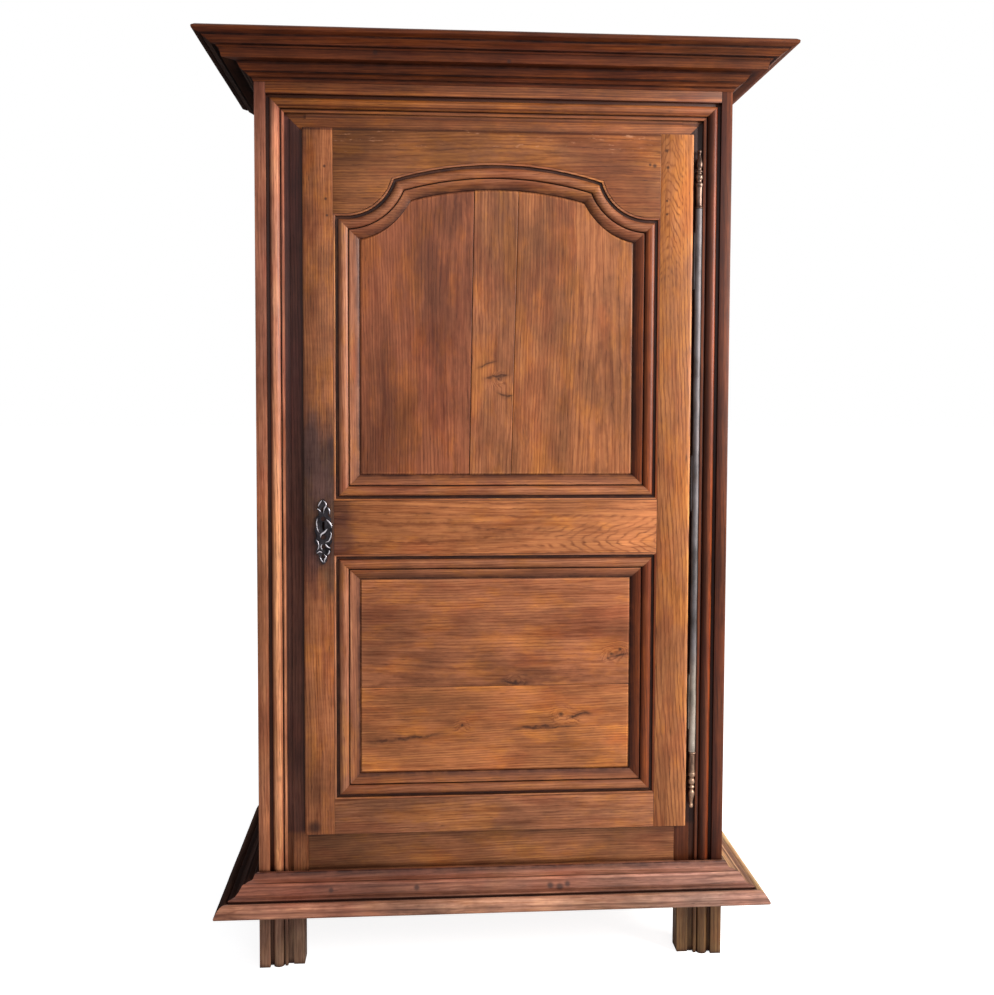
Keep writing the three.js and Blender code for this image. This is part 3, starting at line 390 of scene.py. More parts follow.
def piece(name, points, faces, body, material, stands_for=(), wear_and_shading=None):
    """A finished piece from an array of points in millimetres and a list of faces. The faces are turned
    to point outwards by the sign of the enclosed volume. wear_and_shading holds one value for each point,
    for wear and dirt and for painted highlights and shade."""
    points = np.asarray(points, float) * MM
    fans = np.array([(f[0], f[i], f[i + 1]) for f in faces for i in range(1, len(f) - 1)])
    corners = points[fans]
    volume = np.einsum("ij,ij->", corners[:, 0], np.cross(corners[:, 1], corners[:, 2]))
    if volume < 0:
        faces = [tuple(reversed(f)) for f in faces]
    mesh = bpy.data.meshes.new(name)
    mesh.from_pydata(points.tolist(), [], [tuple(int(i) for i in f) for f in faces])
    mesh.shade_smooth()
    mesh.set_sharp_from_angle(angle=math.radians(SHARP_ANGLE))
    if wear_and_shading is not None:
        mesh.attributes.new("wear_and_shading", "FLOAT", "POINT").data.foreach_set("value", np.asarray(wear_and_shading, np.float32))
    mesh.materials.append(material)
    made = in_scene(name, mesh)
    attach(made, body)
    if stands_for:
        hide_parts(*stands_for)
    return made


def tube_faces(stations, around, start=0):
    """Quads between closed rings of points, one ring after another, with a face on each end."""
    first = np.arange(stations - 1)[:, None] * around
    after = first + around
    step = np.arange(around)[None, :]
    following = (step + 1) % around
    quads = np.stack([first + step, first + following, after + following, after + step], -1).reshape(-1, 4)
    faces = [tuple(q) for q in (quads + start).tolist()]
    last = (stations - 1) * around + start
    faces.append(tuple(range(start + around - 1, start - 1, -1)))
    faces.append(tuple(range(last, last + around)))
    return faces


def leaning(start, corner, end, share):
    """Curve of the second degree from a start to an end that leans to the corner between them."""
    return (1 - share) ** 2 * start + 2 * share * (1 - share) * corner + share**2 * end


def soften(outline, radius, steps=3):
    """A closed outline whose corners become small curves of the second degree between two points a radius
    away, or less where an edge is short. A third column holds the wear and shading value of each corner."""
    outline = np.asarray(outline, float)
    wear_and_shading = np.repeat(outline[:, 2:], steps + 1, axis=0)
    outline = outline[:, :2]
    before = np.roll(outline, 1, axis=0) - outline
    after = np.roll(outline, -1, axis=0) - outline
    before_long = np.linalg.norm(before, axis=1, keepdims=True)
    after_long = np.linalg.norm(after, axis=1, keepdims=True)
    reach = np.minimum(radius, 0.42 * np.minimum(before_long, after_long))
    start = outline + before / before_long * reach
    end = outline + after / after_long * reach
    share = np.linspace(0, 1, steps + 1)[None, :, None]
    curve = leaning(start[:, None], outline[:, None], end[:, None], share)
    return np.hstack([curve.reshape(-1, 2), wear_and_shading])


def half_round(start, width, low, rise, worn_and_shaded, steps=14):
    """Half of an ellipse: distance, depth and wear and shading value at even angles. The crown is rubbed
    and carries a painted highlight, the feet are dirty and carry painted shade.
    """
    angle = np.linspace(0, math.pi, steps + 1)
    wear_and_shading = worn_and_shaded * np.sin(angle) ** 2 - 0.5 * np.cos(angle) ** 6
    return np.stack([start + width / 2 * (1 - np.cos(angle)), low - rise * np.sin(angle), wear_and_shading], 1)


def carried(section, stations, place):
    """Points of a section at each station: place gives X, Y and Z from two section arrays and a station."""
    first = section[None, :, 0]
    second = section[None, :, 1]
    station = stations[:, None]
    x, y, z = np.broadcast_arrays(*place(first, second, station))
    return np.stack([x, y, z], -1).reshape(-1, 3)


def hand_drift(along, across, seed, size=0.25):
    """Slight unevenness of hand planing: a sum of three slow sines along the run, two of them slanted."""
    rng = np.random.default_rng(seed)
    phases = rng.uniform(0, 2 * math.pi, 4)[:3]
    waves = rng.uniform([1 / 420, 1 / 190, 1 / 90], [1 / 300, 1 / 140, 1 / 60])
    drift = 0
    for wave, phase, slant, share in zip(waves, phases, (0, 0.05, -0.11), (0.5, 0.32, 0.18)):
        drift = drift + np.sin(2 * math.pi * wave * along + phase + across * slant) * share
    return drift * size


# Cornice and base
# Shares of the reach and the height of each moulding, and a wear and shading value: dirt with painted shade
# in the hollows, pale rubbing with painted highlight and sheen on the rounds
CORNICE_SHARES = [
    (0.932, 1.0, -0.2), (0.99, 0.945, 0.3), (1.0, 0.92, 0.2), (0.99, 0.86, 0.1), (0.875, 0.81, -0.3),
    (0.862, 0.82, -1.0), (0.842, 0.79, -1.0), (0.835, 0.765, 0.1), (0.77, 0.72, 0.3), (0.715, 0.675, 0.2),
    (0.694, 0.637, -0.9), (0.625, 0.645, -1.0), (0.615, 0.625, 0.2), (0.595, 0.61, 0.1), (0.583, 0.6, -0.9),
    (0.567, 0.575, -0.3), (0.548, 0.48, 0.2), (0.533, 0.4, 0.5), (0.53, 0.385, 0.2), (0.31, 0.395, -0.9),
    (0.275, 0.37, -0.8), (0.262, 0.33, -0.2), (0.235, 0.26, 0.1), (0.2, 0.215, 0.25), (0.178, 0.195, -0.9),
    (0.16, 0.172, -0.7), (0.13, 0.16, 0.2), (0.1, 0.13, 0.4), (0.075, 0.098, 0.0), (0.06, 0.095, -0.9),
    (0.035, 0.07, -0.7), (0.025, 0.045, 0.2), (0.012, 0.0, 0.2),
]
BASE_SHARES = [
    (0.087, 1.0, -1.0), (0.105, 0.95, -0.6), (0.14, 0.835, 0.1), (0.16, 0.815, 0.5), (0.27, 0.812, 0.3),
    (0.315, 0.79, -0.6), (0.34, 0.795, -0.5), (0.365, 0.785, 0.9), (0.391, 0.75, 1.0), (0.41, 0.7, -0.2),
    (0.447, 0.617, 0.3), (0.49, 0.55, 0.2), (0.54, 0.483, -0.3), (0.61, 0.48, -0.6), (0.69, 0.455, -0.3),
    (0.675, 0.37, -0.9), (0.66, 0.335, -1.0), (0.7, 0.345, -0.7), (0.73, 0.375, 0.4), (0.807, 0.392, 0.7),
    (0.86, 0.352, 1.0), (0.91, 0.285, 1.0), (0.94, 0.235, 0.6), (0.962, 0.185, -0.2), (0.985, 0.13, 0.3),
    (1.0, 0.083, 0.6), (0.995, 0.03, 0.3), (0.981, 0.0, 0.0),
]


def crown_section(shares, out, bottom, tall):
    line = np.array(shares) * [out, tall, 1] + [0, bottom, 0]
    return soften(np.vstack([[WALL_GAP, line[0, 1], 0], line, [WALL_GAP, line[-1, 1], 0]]), 1.4)


def crown_run(section, side, seed, stations=90):
    """A moulding carried along the front or along one side, with mitred front corners."""
    along = np.linspace(0, 1, stations)
    widest = section[:, 0].max()

    def front(out, z, s):
        half = HALF_BODY + out - MITRE_GAP
        x = -half + 2 * half * s
        pushed = np.minimum(out + hand_drift(x, z, seed) * (out > 2), widest)
        return x, FRONT_FACE - pushed, z + 0 * s

    def flank(out, z, s):
        start = FRONT_FACE - out + MITRE_GAP
        y = start + (REAR_FACE - start) * s
        pushed = np.minimum(out + hand_drift(y, z, seed) * (out > 2), widest)
        return side * (HALF_BODY + pushed), y, z + 0 * s

    points = carried(section, along, flank if side else front)
    return points, tube_faces(stations, len(section)), np.tile(section[:, 2], stations)


cornice_section = crown_section(CORNICE_SHARES, CORNICE_OUT, CORNICE_BOTTOM, CORNICE_TALL)
base_section = crown_section(BASE_SHARES, BASE_OUT, BASE_BOTTOM, BASE_TALL)

TOP_RAIL_TONES = tones(138, 80, 45)
DARK_CORNICE = tones(84, 39, 19)
# A dark tone for the left returns of the cornice and base: painted shade
LEFT_RETURN_SHADED = tones(54, 32, 24)
ORANGE = tones(158, 98, 58)
PALE_BASE = tones(140, 90, 70)
# A paler, more olive tone for the base's right return: painted light
OLIVE_BASE_LIT = tones(150, 104, 66)
INSIDE = tones(142, 102, 75)
SIDE_BROWN = tones(118, 66, 42)
# The left uprights of the door frames lit and the right ones shaded: painted light and shade
FRAME_LEFT_LIT = tones(156, 98, 70)
FRAME_RIGHT_SHADED = tones(103, 47, 19)
FRAME_LEVEL = tones(134, 80, 52)
POST_LEFT = tones(173, 109, 77)
POST_RIGHT = tones(94, 46, 24)

# Painted light and shade, changing slowly: the right ends are paler, the base's left end darker and
# redder, and the base's nose paler and cooler with a painted sheen
CORNICE_RIGHT_LIT = (0, 0.10, 0.50, 0.70, 0.72, (1.45, 1.6, 1.4))
BASE_LEFT_SHADED = (0, -0.72, -0.70, -0.42, -0.02, (0.78, 0.66, 0.66))
BASE_RIGHT_LIT = (0, 0.10, 0.50, 0.70, 0.72, (0.98, 1.08, 1.25))
BASE_NOSE_SHEEN = (2, 0.145, 0.15, 0.173, 0.179, (1.12, 1.3, 1.3))

# Nail holes and bruises, as X, Y, Z and radius in metres
CORNICE_SPOTS = [(-0.25, -0.216, 1.916, 0.006), (0.02, -0.212, 1.905, 0.005), (-0.06, -0.19, 1.893, 0.006)]
BASE_SPOTS = [(-0.346, -0.194, 0.186, 0.006), (-0.166, -0.194, 0.187, 0.007), (0.118, -0.196, 0.185, 0.008),
              (0.138, -0.198, 0.182, 0.009), (0.155, -0.194, 0.186, 0.007)]

for word, side in (("front", 0), ("left", -1), ("right", 1)):
    along = "back" if side else "across"
    seed = 20 + side
    points, faces, wear_and_shading = crown_run(cornice_section, side, seed)
    shades = LEFT_RETURN_SHADED if side < 0 else DARK_CORNICE
    shine, base_shine, gloss = (0.04, 0.04, 0.85) if side < 0 else (0.14, 0.3, 0.5)
    finish = oak(f"cornice_{word}_oak", along, shades, (0.3 * side + 0.7, 0.2, 1.1), pith=(0.3, 0.2),
                 worn_and_shaded=True, spots=CORNICE_SPOTS, shine=shine, gloss=gloss, stains=[CORNICE_RIGHT_LIT])
    piece(f"cornice_{word}_run", points, faces, "carcase", finish, [f"cornice_{word}"], wear_and_shading=wear_and_shading)
    points, faces, wear_and_shading = crown_run(base_section, side, seed + 7)
    shades = (PALE_BASE, OLIVE_BASE_LIT, LEFT_RETURN_SHADED)[side]
    finish = oak(f"base_{word}_oak", along, shades, (0.4 * side + 2.7, 0.9, 0.3), pith=(0.2, 0.3),
                 worn_and_shaded=True, spots=BASE_SPOTS, shine=base_shine, gloss=gloss,
                 stains=[BASE_LEFT_SHADED, BASE_RIGHT_LIT, BASE_NOSE_SHEEN], golden=0.25)
    piece(f"base_{word}_run", points, faces, "carcase", finish, [f"base_{word}"], wear_and_shading=wear_and_shading)


# Door frames round the panels
def notch(inset):
    """Where the shoulder's arc meets the crown's arc, at a distance inside the opening: the crossing of
    two circles, one round the shoulder's centre and one round the crown's."""
    radius, crown = SHOULDER_RADIUS + inset, CROWN_RADIUS - inset
    apart = np.hypot(SHOULDER_X, SHOULDER_Z - CROWN_Z)
    along = (radius**2 - crown**2 + apart**2) / (2 * apart)
    across = np.sqrt(radius**2 - along**2)
    unit_x, unit_z = -SHOULDER_X / apart, (CROWN_Z - SHOULDER_Z) / apart
    return SHOULDER_X + along * unit_x + across * unit_z, SHOULDER_Z + along * unit_z - across * unit_x


def corner_level(inset):
    radius = SHOULDER_RADIUS + inset
    past = np.maximum(0, inset - SHOULDER_FLAT)
    return SHOULDER_Z - np.sqrt(radius**2 - past**2)


def arch_point(inset, turn):
    """The arched line at a distance inside the opening. turn runs from -1 at the left end to 1 at the
    right: beyond 0.62 it follows the shoulder's arc, and between that the crown's arc."""
    size = np.abs(turn)
    side = np.where(turn < 0, -1.0, 1.0)
    notch_x, notch_z = notch(inset)
    radius, crown = SHOULDER_RADIUS + inset, CROWN_RADIUS - inset
    crown_angle = np.arcsin(notch_x / crown) * np.minimum(size / 0.62, 1)
    start = np.arcsin(np.maximum(0, inset - SHOULDER_FLAT) / radius)
    end = np.arctan2(SHOULDER_X - notch_x, SHOULDER_Z - notch_z)
    share = np.clip((size - 0.62) / 0.34, 0, 1)
    angle = end + (start - end) * share
    shoulder_x = SHOULDER_X - radius * np.sin(angle)
    shoulder_z = SHOULDER_Z - radius * np.cos(angle)
    flat_share = np.clip((size - 0.96) / 0.04, 0, 1)
    shoulder_x = shoulder_x + (PANEL_HALF - inset - shoulder_x) * flat_share
    shoulder_z = shoulder_z + (corner_level(inset) - shoulder_z) * flat_share
    on_crown = size <= 0.62
    x = np.where(on_crown, crown * np.sin(crown_angle), shoulder_x)
    z = np.where(on_crown, CROWN_Z + crown * np.cos(crown_angle), shoulder_z)
    return PANEL_MIDDLE + side * x, z


def moulded_frame_section():
    """Inset, depth and wear and shading value of the moulded frame: flat edge, quirk, half round, fillet,
    hollow, lip and tongue. The value paints highlights on the edge, the crown and the fillet, and shade
    in the quirk and the hollow, along with wear and dirt."""
    slope = np.linspace(0.06, 0.97, 9)
    hollow = np.stack([36.5 + 17.5 * slope, 1 + 6.4 * slope**1.6, 0.25 - 1.25 * slope**1.3], 1)
    rough = np.vstack([
        [[0.3, 0, 0.1], [1.5, 0, 0.3], [4.4, 0, 1.0], [5.2, 5, -0.9], [10.4, 5, -1.0]],
        half_round(10.8, 20.7, 2.4, 6.8, 0.55)[1:-1],
        [[31.6, 5, -1.0], [33, 5, -0.9], [33.4, 0.8, 0.5], [36.5, 0.8, 0.45]],
        hollow,
        [[54, 8, -0.9], [45.7, 8, 0], [45.7, 17.1, 0], [54, 17.1, 0], [54, 20, 0], [0.3, 20, 0]],
        [[0.3, 16, 0], [-7, 16, 0], [-7, 10, 0], [0.3, 10, 0]],
    ])
    return soften(rough, 0.7, 2)


frame_line = moulded_frame_section()


def frame_piece(node, place, stations, along, shades, offset):
    points = carried(frame_line, stations, place)
    wear_and_shading = np.tile(frame_line[:, 2], len(stations))
    finish = oak(node + "_oak", along, shades, offset, patch=0.25, worn_and_shaded=True)
    faces = tube_faces(len(stations), len(frame_line))
    return piece(node + "_run", points, faces, "door", finish, [node], wear_and_shading=wear_and_shading)


def upright(side, bottom, top_of):
    def place(inset, depth, s):
        low = bottom + inset + WALL_GAP
        high = top_of(inset) - WALL_GAP
        z = low + (high - low) * s
        y = DOOR_FACE + depth + hand_drift(z, inset, 3, 0.15)
        return PANEL_MIDDLE + side * (PANEL_HALF - inset), y, z
    return place


def level_run(level, up):
    def place(inset, depth, s):
        half = PANEL_HALF - inset
        x = -half + 2 * half * s
        return PANEL_MIDDLE + x, DOOR_FACE + depth + hand_drift(x, inset, 5, 0.15), level + up * inset
    return place


def arch_run(inset, depth, s):
    x, z = arch_point(inset, s)
    return x, DOOR_FACE + depth, z


run = np.linspace(0, 1, 40)
arch_stations = np.unique(np.concatenate([np.linspace(-1, 1, 121), [-0.62, 0.62, -0.96, 0.96]]))
for side, word in ((-1, "left"), (1, "right")):
    shades = FRAME_LEFT_LIT if side < 0 else FRAME_RIGHT_SHADED
    upper_place = upright(side, MIDDLE_RAIL_TOP, corner_level)
    lower_place = upright(side, BOTTOM_RAIL_TOP, lambda inset: MIDDLE_RAIL_BOTTOM - inset)
    frame_piece(f"frame_upper_{word}", upper_place, run, "up", shades, (0.5 + side, 0.1, 0.4))
    frame_piece(f"frame_lower_{word}", lower_place, run, "up", shades, (0.9 + side, 0.3, 1.4))
level_runs = [
    ("frame_upper_arch", arch_run, arch_stations, (0.2, 1.1, 0.6)),
    ("frame_upper_bottom", level_run(MIDDLE_RAIL_TOP, 1), run, (1.2, 1.3, 0.1)),
    ("frame_lower_top", level_run(MIDDLE_RAIL_BOTTOM, -1), run, (1.7, 0.3, 0.9)),
    ("frame_lower_bottom", level_run(BOTTOM_RAIL_TOP, 1), run, (2.2, 0.8, 0.2)),
]
for node, place, stations, offset in level_runs:
    frame_piece(node, place, stations, "across", FRAME_LEVEL, offset)


# Door panels, made of separate boards
def arch_level(x, inset):
    """Height of the arched line at a distance X: the crown's circle between the notches, the
    shoulder's circle beyond them."""
    off = np.abs(x - PANEL_MIDDLE)
    crown = CROWN_RADIUS - inset
    radius = SHOULDER_RADIUS + inset
    on_crown = CROWN_Z + np.sqrt(crown**2 - off**2)
    on_shoulder = SHOULDER_Z - np.sqrt(np.maximum(radius**2 - (off - SHOULDER_X) ** 2, 0))
    return np.where(off < notch(inset)[0], on_crown, on_shoulder)


def slab(grid, thick, start=0):
    """A closed board from a grid of front points: the same grid set back by the thickness, and walls."""
    rows, columns = grid.shape[:2]
    back = grid.copy()
    back[..., 1] = PANEL_FACE + thick
    count = rows * columns
    index = np.arange(count).reshape(rows, columns) + start
    quads = np.stack([index[:-1, :-1], index[:-1, 1:], index[1:, 1:], index[1:, :-1]], -1).reshape(-1, 4)
    rear = quads[:, ::-1] + count
    edge = np.concatenate([index[0, :], index[1:, -1], index[-1, -2::-1], index[-2:0:-1, 0]])
    ahead = np.roll(edge, -1)
    walls = np.stack([edge, edge + count, ahead + count, ahead], -1)
    faces = [tuple(f) for f in np.vstack([quads, rear, walls]).tolist()]
    return np.vstack([grid.reshape(-1, 3), back.reshape(-1, 3)]), faces


def eased(count, rim):
    """Shares from 0 to 1, close together near the ends, where the edges are rounded."""
    inner = np.linspace(0, 1, count)
    return np.unique(np.concatenate([inner, np.linspace(0, rim, 12), np.linspace(1 - rim, 1, 12)]))


def edge_fall(share, width, radius=1.4):
    """How far a face falls back near its edge: a quarter circle of the given radius."""
    from_edge = np.minimum(share, 1 - share) * width
    near = np.clip(1 - from_edge / radius, 0, 1)
    return radius * (1 - np.sqrt(1 - near**2)) * 0.7


FIELD_START = 9.0
FIELD_END = 12.5
FIELD_RISE = 1.6
DEEPEST = -152.2


def field_step(from_frame):
    """Depth and wear and shading value of a panel's border: a smooth step of the second and third power
    between the sunk border and the field, pale at its top from rubbing and a painted highlight, and dark
    beside the frame from dirt and painted shade."""
    share = np.clip((from_frame - FIELD_START) / (FIELD_END - FIELD_START), 0, 1)
    depth = FIELD_RISE * (1 - share * share * (3 - 2 * share))
    dirty_and_shaded = 1.1 * np.clip((FIELD_START + 1.5 - from_frame) / 3, 0, 1)
    rubbed_and_lit = 0.5 * np.exp(-(((from_frame - FIELD_END) / 1.4) ** 2))
    return depth, rubbed_and_lit - dirty_and_shaded


def board(x, y, z, sunk, wear_and_shading):
    """Points, faces and wear and shading values of a board whose border is sunk. No point goes deeper than
    the field's back.
    """
    y = np.minimum(y - FIELD_RISE * 0.4 + sunk, DEEPEST)
    points, faces = slab(np.stack([x, y, z], -1), PANEL_THICK)
    return points, faces, np.concatenate([wear_and_shading.ravel(), wear_and_shading.ravel()])


def upper_board(left, right, cup):
    """A board of the arched panel: a grid between two edges, each given by its X at the bottom and at the
    top, up to the arch. The face bows by a square law across the board."""
    bottom = MIDDLE_RAIL_TOP + PANEL_INSET
    u, v = np.meshgrid(eased(30, 0.06), eased(44, 0.032))
    low_x = left[0] + (right[0] - left[0]) * u
    high_x = left[1] + (right[1] - left[1]) * u
    top = arch_level(high_x, PANEL_INSET)
    z = bottom + (top - bottom) * v
    x = low_x + (high_x - low_x) * v
    wide = abs(right[0] - left[0])
    beside = np.minimum(x - PANEL_LEFT_EDGE, PANEL_RIGHT_EDGE - x)
    sunk, wear_and_shading = field_step(np.minimum(beside, np.minimum(z - bottom, top - z)))
    y = PANEL_FACE + edge_fall(u, wide) + cup * (2 * u - 1) ** 2 + hand_drift(z, x, 11, 0.12)
    return board(x, y, z, sunk, wear_and_shading)


def lower_board(bottom, top, cup):
    """A board of the lower panel: a level grid that bows by a square law across its height."""
    u, v = np.meshgrid(eased(50, 0.024), eased(24, 0.07))
    x = PANEL_LEFT_EDGE + (PANEL_RIGHT_EDGE - PANEL_LEFT_EDGE) * u
    z = bottom + (top - bottom) * v
    beside = np.minimum(x - PANEL_LEFT_EDGE, PANEL_RIGHT_EDGE - x)
    above = np.minimum(z - BOTTOM_RAIL_TOP, MIDDLE_RAIL_BOTTOM - z) - PANEL_INSET
    sunk, wear_and_shading = field_step(np.minimum(beside, above))
    y = PANEL_FACE + edge_fall(v, abs(top - bottom)) + cup * (2 * v - 1) ** 2 + hand_drift(x, z, 12, 0.12)
    return board(x, y, z, sunk, wear_and_shading)


UPPER_TONES = {
    "left": tones(134, 76, 50),
    "middle": tones(156, 96, 62),
    "right": tones(148, 90, 55),
}
CENTRE_CRACKS = [(0, 2, -0.034, 0.040, 1.262, 0.10, 0.0036), (0, 2, -0.004, 0.044, 1.236, -0.2, 0.0034),
                 (0, 2, -0.046, 0.010, 1.285, 0.25, 0.0026)]
upper_boards = {
    "left": ((PANEL_LEFT_EDGE, PANEL_LEFT_EDGE), (-55.4, -45.9), 0.5),
    "middle": ((-55.0, -45.5), (33.0, 47.0), -0.4),
    "right": ((33.4, 47.4), (PANEL_RIGHT_EDGE, PANEL_RIGHT_EDGE), 0.5),
}
for index, (word, (left, right, cup)) in enumerate(upper_boards.items()):
    points, faces, wear_and_shading = upper_board(left, right, cup)
    middle = word == "middle"
    finish = oak(f"panel_upper_{word}_oak", "up", UPPER_TONES[word], (0.37 * index + 0.2, 0.5, 0.8 * index),
                 pith=(0.05 - 0.11 * index, 0.1), knots=[(0.006, -0.154, 1.262, 0.006)] if middle else [],
                 cracks=CENTRE_CRACKS if middle else [], tilt=(0.012, 0.018 - 0.02 * index), worn_and_shaded=True)
    stands = ["door_panel_upper"] if word == "left" else []
    piece(f"panel_upper_{word}", points, faces, "door", finish, stands, wear_and_shading=wear_and_shading)

LOWER_JOINT = 603.0
lower_boards = {
    "upper": (LOWER_JOINT + 0.2, MIDDLE_RAIL_BOTTOM - PANEL_INSET, tones(152, 92, 60),
              [(0.254, -0.154, 0.670, 0.008), (0.272, -0.154, 0.679, 0.007), (0.046, -0.154, 0.612, 0.007)],
              [(0, 2, 0.0, 0.09, 0.614, 0.0, 0.0045), (0, 2, 0.235, 0.295, 0.661, 0.25, 0.003)]),
    "lower": (BOTTOM_RAIL_TOP + PANEL_INSET, LOWER_JOINT - 0.2, tones(164, 100, 60),
              [(0.145, -0.154, 0.540, 0.009), (0.170, -0.154, 0.532, 0.006), (-0.069, -0.154, 0.519, 0.006)],
              [(0, 2, -0.30, -0.09, 0.478, 0.15, 0.005), (0, 2, 0.02, 0.20, 0.508, 0.05, 0.0036),
               (0, 2, 0.15, 0.22, 0.530, 0.12, 0.003)]),
}
for index, (word, (bottom, top, shades, knots, cracks)) in enumerate(lower_boards.items()):
    points, faces, wear_and_shading = lower_board(bottom, top, 0.5)
    finish = oak(f"panel_lower_{word}_oak", "across", shades, (0.6, 0.5 * index + 0.1, 0.3),
                 pith=(0.62 + 0.1 * index, 0.09), knots=knots, tilt=(0.02, 0.02), worn_and_shaded=True, cracks=cracks)
    stands = ["door_panel_lower"] if word == "upper" else []
    piece(f"panel_lower_{word}", points, faces, "door", finish, stands, wear_and_shading=wear_and_shading)


# CAD nodes that stay, with eased edges and their own finishes
def smooth_group():
    """Geometry nodes that shade every face smooth and keep the edges above an angle sharp."""
    group = bpy.data.node_groups.new("smooth_by_angle", "GeometryNodeTree")
    group.interface.new_socket("Geometry", in_out="INPUT", socket_type="NodeSocketGeometry")
    group.interface.new_socket("Geometry", in_out="OUTPUT", socket_type="NodeSocketGeometry")
    source = group.nodes.new("NodeGroupInput")
    target = group.nodes.new("NodeGroupOutput")
    angle = group.nodes.new("GeometryNodeInputMeshEdgeAngle")
    steep = add(group, "FunctionNodeCompare", {0: angle.outputs[0], 1: math.radians(35)},
                data_type="FLOAT", operation="GREATER_THAN")
    faces = add(group, "GeometryNodeSetShadeSmooth", {0: source.outputs[0], "Shade Smooth": True},
                domain="FACE")
    edges = add(group, "GeometryNodeSetShadeSmooth", {0: faces.outputs[0], "Selection": steep.outputs[0],
                                                      "Shade Smooth": False}, domain="EDGE")
    group.links.new(edges.outputs[0], target.inputs[0])
    return group


smoothing = smooth_group()


def dress(node, material, ease=0.0):
    """A CAD node gets its finish, its loose triangles are joined, its edges eased and its faces shaded."""
    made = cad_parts[node]
    made.data.materials.clear()
    made.data.materials.append(material)
    weld = made.modifiers.new("weld", "WELD")
    weld.merge_threshold = 0.00001
    if ease:
        bevel = made.modifiers.new("eased_edges", "BEVEL")
        bevel.width = ease * MM
        bevel.segments = 2
        bevel.limit_method = "ANGLE"
        bevel.angle_limit = math.radians(40)
        bevel.use_clamp_overlap = True
    smooth = made.modifiers.new("smooth_faces", "NODES")
    smooth.node_group = smoothing


def dress_oak(node, along, shades, offset, ease=0.8, title=None, **more):
    dress(node, oak((title or node) + "_oak", along, shades, offset, **more), ease)


# Painted highlights and shade along the frame mouldings, partly dirt in the grooves: four distances from
# the outer edge in millimetres, and a colour share
POST_SHADING_BANDS = [
    (-1.0, 0.0, 1.5, 3.0, (1.3, 1.4, 1.5)),
    (22.5, 23.5, 29.0, 31.0, (0.34, 0.26, 0.22)),
    (55.0, 56.2, 58.4, 59.6, (1.3, 1.35, 1.35)),
    (51.0, 52.5, 54.0, 54.6, (0.30, 0.22, 0.20)),
]
STRIP = (59.6, 60.4, 103.8, 104.4)
LEFT_POST_SHADING_BANDS = POST_SHADING_BANDS + [(32.0, 36.0, 45.0, 50.0, (1.6, 1.85, 1.8)), (*STRIP, (0.62, 0.60, 0.52))]
RIGHT_POST_SHADING_BANDS = POST_SHADING_BANDS + [
    (11.0, 14.0, 22.4, 23.4, (0.55, 0.48, 0.46)),
    (29.0, 31.0, 35.0, 40.0, (1.95, 1.5, 0.7)),
    (40.0, 45.0, 51.0, 52.5, (0.68, 0.6, 0.56)),
]
# Painted shadow of the door on the sunk strip beside it, down to the door's lower edge, partly dirt
STRIP_SHADE = (90.0, 98.0, 103.8, 104.4, (0.55, 0.5, 0.5))
LEFT_STRIP_SHADOW_BANDS = [(*STRIP, (0.48, 0.47, 0.73)), STRIP_SHADE]
RIGHT_STRIP_SHADOW_BANDS = [(*STRIP, (0.30, 0.28, 0.38)), STRIP_SHADE]
# Painted shade on the top rail: under the cornice and in the grooves of its moulding
RAIL_SHADE_BANDS = [
    (-1.0, 0.0, 12.0, 13.5, (0.62, 0.58, 0.56)),
    (13.5, 14.8, 15.6, 16.4, (0.5, 0.42, 0.38)),
    (20.5, 22.0, 27.0, 30.0, (0.40, 0.32, 0.28)),
    (44.5, 46.0, 47.5, 49.0, (0.5, 0.4, 0.35)),
    (52.0, 53.0, 55.0, 56.5, (0.45, 0.36, 0.3)),
    (63.5, 65.0, 67.5, 69.5, (0.5, 0.42, 0.38)),
    (88.0, 92.0, 110.0, 112.0, (0.4, 0.3, 0.3)),
]
# Levels in metres above which the bands hold
FOOT_TOP = 0.15
STRIP_BOTTOM = 0.283

# Feet grey and rubbed by brooms and damp, a dark upper half and head of the left post, hand-worn wood
# round the lock, and a darker line along the door's upper edge
LEFT_FOOT_GREY = (2, -0.02, -0.01, 0.13, 0.16, (0.74, 1.12, 1.5))
RIGHT_FOOT_GREY = (2, -0.02, -0.01, 0.13, 0.16, (1.7, 3.5, 4.3))
UPPER_POST_DARK = (2, 0.85, 1.35, 2.2, 2.3, (0.78, 0.78, 0.96), 0.1, None)
POST_HEAD_DARK = (2, 1.78, 1.86, 2.2, 2.3, (0.68, 0.56, 0.52))
STILE_HAND_WORN = (2, 0.74, 0.90, 1.12, 1.25, (0.33, 0.45, 0.92), 0.16, None)
RAIL_HAND_WORN = (0, -0.42, -0.41, -0.325, -0.27, (0.42, 0.42, 0.66), 0.03, None)
# A painted highlight along the rounded right edge of the hinge stile
STILE_EDGE_HIGHLIGHT = (0, 0.4115, 0.4150, 0.4195, 0.42, (1.35, 1.5, 1.8))
DOOR_TOP_DARK_LINE = (2, 1.7735, 1.7765, 1.79, 1.80, (0.42, 0.36, 0.36))

# Pegs, nail holes and bruises, as X, Y, Z and radius in metres
LEFT_POST_SPOTS = [(-0.455, -0.166, 0.411, 0.011), (-0.452, -0.166, 0.424, 0.008)]
LOCK_STILE_SPOTS = [(-0.358, -0.162, 1.701, 0.0035), (-0.3555, -0.162, 1.634, 0.0035),
                    (-0.353, -0.162, 1.6, 0.003), (-0.384, -0.162, 0.306, 0.016)]
HINGE_STILE_SPOTS = [(0.360, -0.162, 1.745, 0.0042), (0.363, -0.162, 1.710, 0.0042),
                     (0.362, -0.162, 1.640, 0.003), (0.362, -0.162, 1.612, 0.0028)]
TOP_RAIL_SPOTS = [(0.335, -0.162, 1.713, 0.005), (0.325, -0.162, 1.715, 0.0035)]


